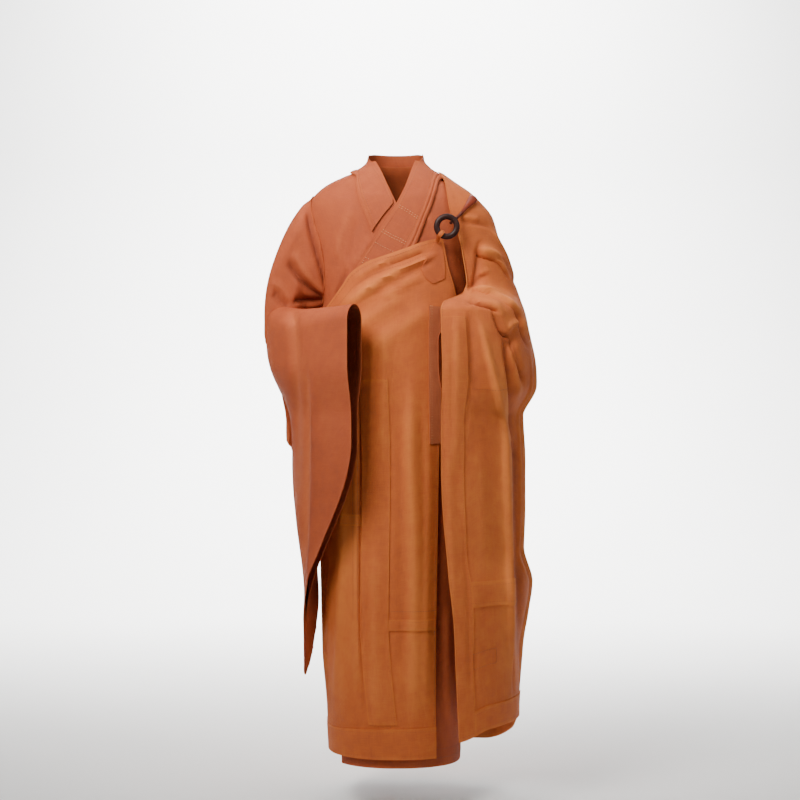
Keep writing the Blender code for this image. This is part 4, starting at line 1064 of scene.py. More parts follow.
class Bench:
    """A material's node tree, to which nodes are added one way."""

    def __init__(self, name: str, tint: Colour) -> None:
        """Start a material with its Principled shader.

        Args:
            name: Name of the material.
            tint: Colour for plain views.
        """
        self.material = bpy.data.materials.new(name)
        self.material.use_nodes = True
        self.material.diffuse_color = tint
        self.tree = self.material.node_tree
        self.shader = self.tree.nodes["Principled BSDF"]

    def node(self, kind: str, settings: dict | None = None,
             inputs: dict | None = None) -> bpy.types.Node:
        """Add a node.

        Args:
            kind: Type of the node.
            settings: Its properties, and a ramp's "stops".
            inputs: Values or links of its sockets, by name or number.

        Returns:
            The node.
        """
        made = self.tree.nodes.new(kind)
        for name, value in (settings or {}).items():
            if name == "stops":
                self._stops(made.color_ramp, value)
            else:
                setattr(made, name, value)
        for name, value in (inputs or {}).items():
            self.feed(made.inputs[name], value)
        return made

    @staticmethod
    def _stops(ramp: bpy.types.ColorRamp, stops: Sequence[tuple[float, Colour]]) -> None:
        """Set a ramp's stops."""
        while len(ramp.elements) < len(stops):
            ramp.elements.new(1.0)
        for element, (place, colour) in zip(ramp.elements, stops):
            element.position = place
            element.color = colour

    def feed(self, socket: bpy.types.NodeSocket, value: object) -> None:
        """Link or set a socket."""
        if isinstance(value, Value):
            self.tree.links.new(value.socket, socket)
        elif isinstance(value, bpy.types.NodeSocket):
            self.tree.links.new(value, socket)
        else:
            socket.default_value = value

    def finish(self, **inputs: object) -> bpy.types.Material:
        """Feed the shader, with spaces for the underscores of each name."""
        for name, value in inputs.items():
            title = name.replace("_", " ").title().replace("Ior", "IOR")
            self.feed(self.shader.inputs[title], value)
        return self.material

    def place(self) -> bpy.types.NodeSocket:
        """Object coordinates."""
        return self.node("ShaderNodeTexCoord").outputs["Object"]

    def noise(self, place: bpy.types.NodeSocket, scale: tuple[float, float, float],
              detail: float = 2.0, roughness: float = 0.5) -> Value:
        """Noise stretched by a scale along each axis."""
        spread = self.node("ShaderNodeVectorMath", {"operation": "MULTIPLY"}, {0: place, 1: scale})
        made = self.node("ShaderNodeTexNoise", None, {
            "Vector": spread.outputs[0], "Scale": 1.0, "Detail": detail, "Roughness": roughness})
        return Value(self, made.outputs["Factor" if "Factor" in made.outputs else "Fac"])

    def attribute(self, name: str) -> Value:
        """A number kept on the mesh."""
        made = self.node("ShaderNodeAttribute", {"attribute_name": name})
        return Value(self, made.outputs["Fac"])

    def ramp(self, value: Value, stops: Sequence[tuple[float, Colour]]) -> bpy.types.NodeSocket:
        """Colours along a value."""
        return self.node("ShaderNodeValToRGB", {"stops": stops}, {0: value}).outputs["Color"]

    def bump(self, height: Value, distance: float, strength: float) -> bpy.types.NodeSocket:
        """Normals of a height."""
        return self.node("ShaderNodeBump", None, {
            "Height": height, "Distance": distance, "Strength": strength}).outputs["Normal"]


class Finish:
    """A surface whose material is made once."""

    def material(self) -> bpy.types.Material:
        """The finish's material."""
        made = bpy.data.materials.get(self.name)
        return made or self._mix(Bench(self.name, self.colour))


@dataclass(frozen=True)
class Cloth(Finish):
    """A soft woven cloth with a short nap, with painted shade in its troughs and painted highlight
    on its ridges, rubbed at its edges.
    """

    slot: str
    name: str
    shade: Colour
    colour: Colour
    highlight_and_sheen: Colour
    pitch: float = 0.0012
    sheen: float = 0.12

    def _mix(self, bench: Bench) -> bpy.types.Material:
        """The cloth's nodes."""
        place = bench.place()
        map_place = bench.node("ShaderNodeUVMap", {"uv_map": "cloth"}).outputs["UV"]
        parts = bench.node("ShaderNodeSeparateXYZ", None, {0: map_place})
        across, down = (Value(bench, parts.outputs[i]) for i in range(2))
        turn = 2.0 * math.pi / self.pitch
        weave = (across * turn).wave() * (down * turn).wave()
        slub = bench.noise(map_place, (620.0, 26.0, 1.0))
        slub = slub + bench.noise(map_place, (34.0, 520.0, 1.0))
        cloud = bench.noise(place, (5.5, 5.5, 3.6), 3.0)
        mottle = bench.noise(place, (42.0, 42.0, 34.0), 4.0, 0.62)
        nap = bench.noise(place, (900.0, 900.0, 900.0), 2.0)
        fold, edge = bench.attribute("fold"), bench.attribute("edge")
        # The fold term paints shade into the troughs and highlight onto the ridges; the noise terms
        # give the cloth's own uneven tone and the edge term its rubbed edges.
        tone = 0.5 + fold * 0.34 + (cloud - 0.5) * 0.36 + (mottle - 0.5) * 0.42
        tone = tone + (slub - 1.0) * 0.24 + (nap - 0.5) * 0.16 + edge * 0.16
        colour = bench.ramp(tone.held(0.0, 1.0), (
            (0.0, self.shade), (0.5, self.colour), (1.0, self.highlight_and_sheen)))
        height = weave * 0.30 + slub * 0.9 + nap * 0.5 + mottle * 0.8
        return bench.finish(
            base_color=colour,
            roughness=(0.80 + (mottle - 0.5) * 0.16 + edge * 0.06).held(0.6, 0.98),
            sheen_weight=self.sheen,
            sheen_roughness=0.45,
            sheen_tint=self.highlight_and_sheen,
            normal=bench.bump(height, 0.0007, 0.55),
        )


@dataclass(frozen=True)
class Thread(Finish):
    """Matt sewing thread with a twist along it."""

    name: str
    colour: Colour

    def _mix(self, bench: Bench) -> bpy.types.Material:
        """The thread's nodes."""
        place = bench.place()
        shade = bench.noise(place, (60.0, 60.0, 60.0), 2.0)
        strand = bench.noise(place, (2600.0, 2600.0, 2600.0), 1.0)
        dark = tuple(part * 0.62 for part in self.colour[:3]) + (1.0,)
        tone = (0.5 + (shade - 0.5) * 0.9 + (strand - 0.5) * 0.5).held(0.0, 1.0)
        return bench.finish(
            base_color=bench.ramp(tone, ((0.0, dark), (0.7, self.colour))),
            roughness=0.66 + (strand - 0.5) * 0.2,
            normal=bench.bump(strand, 0.0002, 0.6),
        )


@dataclass(frozen=True)
class Horn(Finish):
    """Polished dark brown horn, redder where it is thin."""

    name: str
    colour: Colour
    red: Colour

    def _mix(self, bench: Bench) -> bpy.types.Material:
        """The horn's nodes."""
        place = bench.place()
        grain = bench.noise(place, (60.0, 60.0, 420.0), 3.0, 0.6)
        cloud = bench.noise(place, (38.0, 38.0, 38.0), 2.0)
        scuff = bench.noise(place, (700.0, 700.0, 90.0), 2.0)
        warm = bench.attribute("warm")
        tone = (warm + (grain - 0.5) * 0.8 + (cloud - 0.5) * 0.6).held(0.0, 1.0)
        return bench.finish(
            base_color=bench.ramp(tone, ((0.15, self.colour), (0.9, self.red))),
            roughness=(0.42 + (scuff - 0.5) * 0.18 + (cloud - 0.5) * 0.08).held(0.2, 0.7),
            specular_ior_level=0.16,
            normal=bench.bump(grain, 0.0003, 0.25),
        )


@dataclass(frozen=True)
class Metal(Finish):
    """Pale stamped metal, duller in fine scratches."""

    name: str
    colour: Colour
    dull: Colour

    def _mix(self, bench: Bench) -> bpy.types.Material:
        """The metal's nodes."""
        place = bench.place()
        scratch = bench.noise(place, (300.0, 300.0, 2400.0), 3.0)
        cloud = bench.noise(place, (180.0, 180.0, 180.0), 2.0)
        tone = scratch * 0.6 + cloud * 0.4
        return bench.finish(
            base_color=bench.ramp(tone, ((0.3, self.dull), (0.7, self.colour))),
            metallic=0.75,
            roughness=(0.30 + (scratch - 0.5) * 0.3).held(0.12, 0.6),
            normal=bench.bump(scratch, 0.0001, 0.3),
        )


@dataclass(frozen=True)
class Floor(Finish):
    """Pale matt floor with a faint cloudiness."""

    name: str = "pale_floor"
    colour: Colour = (0.88, 0.875, 0.865, 1.0)

    def _mix(self, bench: Bench) -> bpy.types.Material:
        """The floor's nodes."""
        cloud = bench.noise(bench.place(), (1.2, 1.2, 1.2), 2.0)
        dim = tuple(part * 0.97 for part in self.colour[:3]) + (1.0,)
        return bench.finish(
            base_color=bench.ramp(cloud, ((0.3, dim), (0.7, self.colour))),
            roughness=0.85,
        )


@dataclass
class Robe:
    """The inner robe's body: its back, two crossing fronts and the collar with its tucks."""

    cloth: Cloth
    step: float = 0.010
    front_columns: int = 64
    back_columns: int = 96
    collar_rows: int = 13
    collar_steps: int = 12
    ripple: Ripple = field(default_factory=lambda: Ripple(0.0012, 0.050, 0.160, 3.0))

    def build(self, shop: Workshop) -> None:
        """Make the body and the collar.

        Args:
            shop: Workshop that makes the shells.
        """
        hem = self._panel(self._right_front, ROBE_HEM_Z, self.front_columns, 0.0)
        self._sew(shop, "robe_right_front", hem, "robe_front_right")
        over = self._panel(self._left_front, ROBE_OVER_HEM_Z, self.front_columns, None)
        self._sew(shop, "robe_left_front", over, "robe_front_left")
        behind = self._panel(self._back, ROBE_HEM_Z, self.back_columns, 0.0)
        self._sew(shop, "robe_back_panel", behind, "robe_back")
        self._collar(shop, "right", RIGHT_COLLAR, 1)
        self._collar(shop, "left", LEFT_COLLAR, 2)
        self._neck(shop)

    @staticmethod
    def _right_front(z: Curve) -> tuple[Curve, Curve]:
        """Turns of the right front's side seam and free edge."""
        return -90.0 + Figure.armhole_cut(z), Figure.front_turn(z, UNDER_EDGE.at("x", z))

    @staticmethod
    def _left_front(z: Curve) -> tuple[Curve, Curve]:
        """Turns of the left front's free edge and side seam."""
        edge = Figure.front_turn(z, OVER_EDGE.at("x", z), OVERLAP_OUT)
        return edge, 90.0 - Figure.armhole_cut(z)

    @staticmethod
    def _back(z: Curve) -> tuple[Curve, Curve]:
        """Turns of the back's two side seams."""
        cut = Figure.armhole_cut(z)
        return 90.0 + cut, 270.0 - cut

    def _panel(self, edges: Callable[[Curve], tuple[Curve, Curve]], hem_z: float,
               columns: int, out: float | None) -> Sheet:
        """Cloth between two upright edges, from the neck to the hem.

        Args:
            edges: Turns of both edges at each height.
            hem_z: Height of the hem.
            columns: Steps across.
            out: Distance outside the figure, or None for the overlapping front.

        Returns:
            The panel before its creases.
        """
        z = np.array(refined(FRONT_ROWS + (hem_z,), self.step))[:, None]
        first, last = edges(z)
        turns = first + (last - first) * np.linspace(0.0, 1.0, columns + 1)
        away = Figure.overlap_out(turns) if out is None else out
        return Sheet(Figure.body(np.broadcast_to(z, turns.shape), turns, away))

    def _sew(self, shop: Workshop, name: str, base: Sheet, node: str) -> None:
        """Crease a panel, make it and run its hem stitches."""
        dressed = base.creased(ROBE_CREASES + BACK_BODY_CREASES, 1.0, self.ripple)
        dressed = dressed.out(-self.ripple.height)
        shop.shell(name, dressed, self.cloth, (node,))
        hem = -1 - round(HEM_TURN / self.step)
        shop.seams["robe"] += [dressed.line(row=-3), dressed.line(row=hem)]

    def _band(self, stations: Sequence[Sequence[float]], shares: Curve,
              out_at: Callable[[Curve], Curve]) -> Grid:
        """Grid of a collar strip: rows across it and columns along it."""
        rows = []
        for number, row in enumerate(stations):
            edge = dict(zip(COLLAR_COLUMNS, row))
            turns = [float(Figure.front_turn(edge[f"{n}_z"], edge[f"{n}_x"]))
                     for n in ("inner", "outer")]
            if number == 0:
                turns = [math.copysign(NECK_SEAM_TURN, turn) for turn in turns]
            rows.append((number, turns[0], edge["inner_z"], turns[1], edge["outer_z"]))
        table = Table(("station", "inner_turn", "inner_z", "outer_turn", "outer_z"), rows)
        places = np.linspace(0, len(stations) - 1, self.collar_steps * (len(stations) - 1) + 1)
        edge = {name: table.at(name, places) for name in table.columns}
        share = shares[:, None]
        turns = edge["inner_turn"] + (edge["outer_turn"] - edge["inner_turn"]) * share
        heights = edge["inner_z"] + (edge["outer_z"] - edge["inner_z"]) * share
        grid = Figure.body(heights, turns, out_at(turns))
        return grid if stations[0][0] < 0 else grid[:, ::-1]

    def _collar(self, shop: Workshop, side: str, stations: Sequence, tucks: int) -> None:
        """One front's collar band, with the narrow tucks beside it and their stitches."""
        rows = np.array(stations)
        width = float(np.mean(np.linalg.norm(rows[:, 2:] - rows[:, :2], axis=1)))
        tuck = COLLAR_TUCK / width
        out_at = (lambda turns: 0.0 * turns) if side == "right" else Figure.overlap_out
        end = 0 if side == "right" else -1
        band = Sheet(self._band(stations, np.linspace(0.0, 1.0, self.collar_rows), out_at))
        soft = Ripple(0.0012, 0.030, 0.030, 9.0)
        band = band.squared(end).out(BAND_OUT)
        dressed = band.out(soft.lift(band.points.reshape(-1, 3)).reshape(band.points.shape[:2])
                           - soft.height * 0.5)
        shop.shell(f"collar_{side}", dressed, self.cloth, (f"robe_collar_{side}",))
        shop.seams["robe"] += [dressed.line(row=1), dressed.line(row=-2)]
        if side == "left":
            shop.seams["cross"] += [dressed.line(column=column)[1:-1] for column in
                                    self._cross_columns(dressed)]
        for number in range(tucks):
            shares = np.linspace(1.0 + tuck * number + 0.006, 1.0 + tuck * (number + 1), 6)
            strip = Sheet(self._band(stations, shares, out_at)).squared(end)
            raised = strip.out(BAND_OUT + np.array((0.0, 0.0008, 0.0012, 0.0010, 0.0004, -0.0006))
                               [:, None] * np.ones(strip.points.shape[1]))
            shop.shell(f"collar_tuck_{side}_{number + 1}", raised, self.cloth,
                       (f"robe_collar_tuck_{side}_{number + 1}",),
                       TRIM_CLOTH)

    @staticmethod
    def _cross_columns(band: Sheet) -> list[int]:
        """Columns at which pale stitches cross the left band."""
        heights = band.points[0, :, 2]
        return [int(np.abs(heights - z).argmin()) for z in CROSS_STITCH_ZS]

    def _neck(self, shop: Workshop) -> None:
        """The band behind the neck."""
        turns = np.linspace(180.0 - NECK_SEAM_TURN, 180.0 + NECK_SEAM_TURN, 97)
        top = COLLAR_BACK_TOP_Z + NECK_RISE * ease((NECK_SEAM_TURN - np.abs(turns - 180.0)) / 50.0)
        heights = np.linspace(top, np.full(len(turns), COLLAR_BACK_LOW_Z), self.collar_rows)
        grid = Figure.body(heights, np.broadcast_to(turns, heights.shape))
        band = Sheet(grid).squared(0).squared(-1).out(BAND_OUT)
        shop.shell("collar_neck", band, self.cloth, ("robe_collar_back",))
        shop.seams["robe"] += [band.line(row=1), band.line(row=-2)]


@dataclass
class Sleeves:
    """Both wide sleeves, whose creases spread from the bend of the arm."""

    cloth: Cloth
    around: dict[str, int] = field(default_factory=lambda: {"right": 330, "left": 220})
    along: int = 12
    ripple: Ripple = field(default_factory=lambda: Ripple(0.0016, 0.040, 0.110, 5.0))

    def build(self, shop: Workshop) -> Sheet:
        """Make both sleeves.

        Args:
            shop: Workshop that makes the shells.

        Returns:
            The right sleeve, which carries the snaps.
        """
        dressed = {}
        for side, table, creases in (
            ("right", RIGHT_SLEEVE, SLEEVE_CREASES + RIGHT_BACK_CREASES),
            ("left", LEFT_SLEEVE, LEFT_CREASES),
        ):
            way = -1 if side == "right" else 1
            base = self._sleeve(table, way, self.around[side])
            dressed[side] = base.creased(creases, 1.0, self.ripple)
            shop.shell(f"sleeve_{side}", dressed[side], self.cloth, (f"robe_sleeve_{side}",))
            cuff = dressed[side].line(row=-4)
            shop.seams["robe"].append(np.concatenate((cuff, cuff[:1])))
        return dressed["right"]

    def _sleeve(self, table: Sequence, way: int, around: int) -> Sheet:
        """A whole sleeve as a closed sheet of loops.

        Args:
            table: Row of sizes for each loop.
            way: -1 for the wearer's right, 1 for the left.
            around: Steps round each loop.

        Returns:
            The sleeve, with a row for each loop from the armhole to the cuff.
        """
        loops = [self._armhole(way, around, 1.0), self._armhole(way, around, 0.2)]
        loops += [self._loop(dict(zip(SLEEVE_COLUMNS, row)), way, around) for row in table]
        points = spline(np.array(loops), self.along)
        if way > 0:
            points = np.roll(points[:, ::-1], 1, axis=1)
        return Sheet(points, closed=True)

    @staticmethod
    def _armhole(way: int, around: int, lap: float) -> Grid:
        """Loop lapped over the armhole's edge by a share of the whole lap."""
        angle = 2.0 * np.pi * np.arange(around) / around
        z = ARMHOLE_MIDDLE_Z + (ARMHOLE_HALF_HEIGHT + SLEEVE_LAP_HEIGHT * lap) * np.cos(angle)
        turns = 90.0 - (ARMHOLE_HALF_TURN + SLEEVE_LAP_TURN * lap) * np.sin(angle)
        out = np.full(around, SLEEVE_LAP_OUT)
        if way > 0:
            out += LEFT_LAP_SHARE * Figure.overlap_out(turns)
        return Figure.body(z, turns * way, out)

    @staticmethod
    def _loop(loop: dict[str, float], way: int, around: int) -> Grid:
        """One loop of a sleeve: over the arm, down the front layer and up the rear layer."""
        face = math.radians(loop["face"])
        toward_front = np.array((way * math.sin(face), -math.cos(face)))
        height = loop["top_z"] - loop["low_z"]
        step = np.arange(around)
        down = height * (1.0 - np.cos(2.0 * np.pi * step / around)) / 2.0
        z = loop["top_z"] - down
        lean = ease((loop["lean_from"] - z) / (loop["lean_from"] - loop["lean_to"]))
        low = ease((loop["top_z"] - height * 0.6 - z) / (height * 0.4))
        pouch = ease((z - POUCH_END_Z) / (POUCH_FULL_Z - POUCH_END_Z))
        thick = loop["mid"] + (loop["arm"] - loop["mid"]) * pouch
        thick = thick + (loop["low"] - thick) * low
        for share in (down / loop["arm"], (height - down) / (loop["low"] * 1.5)):
            thick = thick * np.sqrt(np.maximum(0.0, 1.0 - (1.0 - np.clip(share, 0.0, 1.0)) ** 2))
        across = np.where(step <= around / 2, 1.0, -1.0)
        x = loop["top_x"] + (loop["low_x"] - loop["top_x"]) * lean
        x = x - way * loop["tuck"] * ease(down / height * 2.5 - 1.5)
        y = loop["top_y"] + (loop["low_y"] - loop["top_y"]) * lean
        return np.stack((x + toward_front[0] * thick * across,
                         y + toward_front[1] * thick * across, z), axis=1)


@dataclass
class Wrap:
    """The pieced wrap: its front, the side that hangs from the left shoulder, and its trims."""

    cloth: Cloth
    # Darker copy of the wrap's cloth for the folded strip: its colour is painted shade.
    dark: Cloth
    patch: Cloth
    step: float = ROW_STEP
    close_step: float = 0.0040
    open_step: float = 0.0125
    front_columns: int = 84
    ahead_columns: int = 98
    behind_columns: int = 104
    ripple: Ripple = field(default_factory=lambda: Ripple(0.0022, 0.048, 0.150, 1.0))
    side_ripple: Ripple = field(default_factory=lambda: Ripple(0.0026, 0.055, 0.170, 7.0))

    def build(self, shop: Workshop) -> None:
        """Make the wrap and everything sewn on it.

        Args:
            shop: Workshop that makes the shells.
        """
        self._front(shop)
        self._side(shop)
        self._patches(shop)
        self._front_seams(shop)

    def _front(self, shop: Workshop) -> None:
        """The wrap across the chest and down the front, with its hem band."""
        share = np.linspace(0.0, 1.0, self.front_columns + 1)

        def turn(z: Curve) -> Curve:
            edge = Figure.front_turn(z, FRONT_EDGE.at("x", z), WRAP_OUT)
            return -90.0 + (edge + 90.0) * share

        top = np.full(len(share), -0.25)
        for _ in range(14):
            top = CHEST_EDGE.at("z", Figure.body(top, turn(top), WRAP_OUT)[:, 0])
        rows = round((top.mean() - WRAP_HEM_Z) / self.step)
        down = np.linspace(0.0, 1.0, rows + 1)[:, None]
        z = top + (WRAP_HEM_Z - top) * down
        grid = np.array([Figure.body(line, turn(line), WRAP_OUT) for line in z])
        base = Sheet(grid)
        dressed = self._dress(base)
        shop.shell("wrap_front_panel", dressed, self.cloth, ("wrap_front",))
        band = int(np.abs(z[:, -1] - WRAP_HEM_Z - HEM_BAND).argmin())
        hem = dressed.part((band, rows), (0, self.front_columns)).out(TRIM_OUT)
        shop.shell("hem_band_front", hem, self.cloth, ("wrap_hem_band_front",),
                   TRIM_CLOTH)
        shop.seams["wrap"] += [hem.line(row=1), hem.line(row=-2)]
        shop.seams["wrap"] += [dressed.line(row=1), dressed.line(row=4)]
        shop.seams["wrap"].append(dressed.line(column=-2)[4:band])

    def _dress(self, base: Sheet) -> Sheet:
        """The front's creases."""
        folded = base.creased(CHEST_FOLDS, CHEST_FOLDS_SHARE)
        return folded.creased(WRAP_CREASES + WRAP_SIDE_CREASES, 1.0, self.ripple)

    def _side(self, shop: Workshop) -> None:
        """The wrap from its free edge over the left arm, round the back to the right side."""
        above = [row for row in DRAPE_ROWS if row >= FOREARM_FOLDS_END_Z]
        below = above[-1:] + [row for row in DRAPE_ROWS if row < FOREARM_FOLDS_END_Z]
        rows = refined(above, self.close_step) + refined(below, self.open_step)[1:]
        z = np.array(rows)[:, None]
        edge = Figure.drape_turn(z, DRAPE.at("edge_x", z))
        slant = Figure.back_turn(z, BACK_EDGE.at("x", z))
        blend = ease((BACK_SLANT_END_Z + SLANT_BLEND_ABOVE - z) / SLANT_BLEND)
        back = slant + (270.0 - slant) * blend
        ahead = edge + (90.0 - edge) * np.linspace(0.0, 1.0, self.ahead_columns + 1)
        behind = 90.0 + (back - 90.0) * np.linspace(0.0, 1.0, self.behind_columns + 1)[1:]
        turns = np.concatenate((ahead, behind), axis=1)
        base = Sheet(Figure.drape(np.broadcast_to(z, turns.shape), turns))
        dressed = self._dress_side(base)
        nodes = ("wrap_shoulder", "wrap_falling_end", "wrap_back")
        shop.shell("wrap_side_and_back", dressed, self.cloth, nodes)
        self._side_trims(shop, dressed, z[:, 0])

    def _dress_side(self, base: Sheet) -> Sheet:
        """The hanging side's and the back's creases."""
        folded = base.creased(DRAPE_FOLDS + BACK_FOLDS, SIDE_FOLDS_SHARE)
        creases = DRAPE_CREASES + DRAPE_FLAPS + BACK_CREASES
        return folded.creased(creases, 1.0, self.side_ripple)

    def _side_trims(self, shop: Workshop, dressed: Sheet, z: Curve) -> None:
        """The border, hem bands and seam band of the hanging side, and their stitches."""
        low, last = len(z) - 1, dressed.points.shape[1] - 1
        band = int(np.abs(z - z[-1] - HEM_BAND).argmin())
        wide = round(self.ahead_columns * BORDER_SHARE)
        top = int(np.abs(z - BORDER_TOP_Z).argmin())
        seam = [int(np.abs(z - height).argmin()) for height in FALL_SEAM_ZS]
        pieces = (
            ("hem_band_fall", "wrap_hem_band_fall", (band, low), (wide, self.ahead_columns)),
            ("hem_band_back", "wrap_hem_band_back", (band, low), (self.ahead_columns, last)),
            ("border_fall", "wrap_border_fall", (top, low), (0, wide)),
            ("seam_band_fall", "wrap_seam_band_fall", seam,
             (wide, wide + round(self.ahead_columns * SEAM_BAND_SHARE))),
        )
        for name, node, rows, columns in pieces:
            piece = dressed.part(rows, columns).out(TRIM_OUT)
            shop.shell(name, piece, self.cloth, (node,),
                       TRIM_CLOTH)
            shop.seams["wrap"] += [piece.line(row=1), piece.line(row=-2)]
            if name == "border_fall":
                shop.seams["wrap"] += [piece.line(column=-2), piece.line(column=1)]
        top_line = [dressed.line(column=1)[:top], dressed.line(row=1)]
        shop.seams["wrap"] += top_line + [dressed.line(column=-3)[:band]]

    def _piece(self, shop: Workshop, name: str, node: str, heights: Curve, left: Curve,
               right: Curve, columns: int, cloth: Cloth) -> Sheet:
        """A piece lying on the wrap's front between two upright edges.

        Args:
            shop: Workshop that makes the shells.
            name: Name of the piece.
            node: Solid that it stands for.
            heights: Heights of its rows.
            left: Distance of its first edge at each height.
            right: Distance of its second edge at each height.
            columns: Steps across.
            cloth: Its finish.

        Returns:
            The finished sheet.
        """
        x = left[:, None] + (right - left)[:, None] * np.linspace(0.0, 1.0, columns + 1)
        z = np.broadcast_to(heights[:, None], x.shape)
        piece = self._dress(Sheet(Figure.on_wrap(x, z))).out(TRIM_OUT)
        shop.shell(name, piece, cloth, (node,),
                   TRIM_CLOTH)
        return piece

    def _patches(self, shop: Workshop) -> None:
        """The upright band, seam bands, shield patch and folded strip."""
        z = np.arange(COLUMN_TOP_Z, COLUMN_LOW_Z, -self.step)
        left = COLUMN_LEFT.at("x", z)
        column = self._piece(shop, "column_band", "wrap_column_band", z, left,
                             left + COLUMN_WIDTH, 14, self.cloth)
        shop.seams["wrap"] += [column.line(column=c) for c in (1, 2, -2)]
        for name, height in (("left", LEFT_SEAM_Z), ("middle", MIDDLE_SEAM_Z)):
            z = np.linspace(height, height - SEAM_BAND, 6)
            left, right = np.full(6, PATCH_LEFT_X), COLUMN_LEFT.at("x", z)
            if name == "middle":
                left, right = right + COLUMN_WIDTH, FRONT_EDGE.at("x", z) - 0.002
            band = self._piece(shop, f"seam_band_{name}", f"wrap_seam_band_{name}", z,
                               left + PATCH_GAP, right - PATCH_GAP, 30, self.cloth)
            shop.seams["wrap"] += [band.line(row=1), band.line(row=-2)]
        z = np.linspace(SHIELD.key[-1], SHIELD.key[0], 26)
        shield = self._piece(shop, "shield_patch", "wrap_shield_patch", z, SHIELD.at("left", z),
                             SHIELD.at("right", z), 12, self.patch)
        around = np.concatenate((shield.line(column=1)[1:-1], shield.line(column=-2)[1:-1][::-1]))
        shop.seams["wrap"].append(np.concatenate((around, around[:1])))
        # The folded strip takes the darker cloth, whose colour is painted shade.
        z = np.linspace(STRIP_TOP_Z, STRIP_LOW_Z, 46)
        strip = self._piece(shop, "folded_strip", "wrap_folded_strip", z,
                            np.full(46, STRIP_LEFT_X), np.full(46, STRIP_RIGHT_X), 8, self.dark)
        shop.seams["cross"] += [strip.line(column=1), strip.line(column=2)]

    def _trace(self, path: Sequence[tuple[float, float]], side: bool = False) -> Grid:
        """Line of stitches along a path of distances and heights."""
        ends = np.array(path)
        length = np.linalg.norm(np.diff(ends, axis=0), axis=1)
        along = np.concatenate(((0.0,), np.cumsum(length)))
        places = np.linspace(0.0, along[-1], max(4, round(along[-1] / 0.004)))
        x, z = (np.interp(places, along, ends[:, i]) for i in range(2))
        turn = unit(np.stack((np.gradient(x), np.gradient(z)), axis=1)) * 0.002
        if turn[:, 0].sum() < 0:
            x, z, turn = x[::-1], z[::-1], -turn[::-1]
        xs = np.stack([x - turn[:, 1] * k for k in (1, 0, -1)])
        zs = np.stack([z + turn[:, 0] * k for k in (1, 0, -1)])
        surface = Figure.on_drape if side else Figure.on_wrap
        base = Sheet(surface(xs, zs))
        if base.normals[1, :, 1].mean() > 0:
            base = Sheet(base.points[::-1])
        return (self._dress_side if side else self._dress)(base).line(row=1)

    def _front_seams(self, shop: Workshop) -> None:
        """Stitch lines that run over the front and the falling end."""
        shop.seams["wrap"] += [self._trace(path) for path in FRONT_SEAMS]
        shop.seams["wrap"] += [self._trace(path, True) for path in FALL_SEAMS]


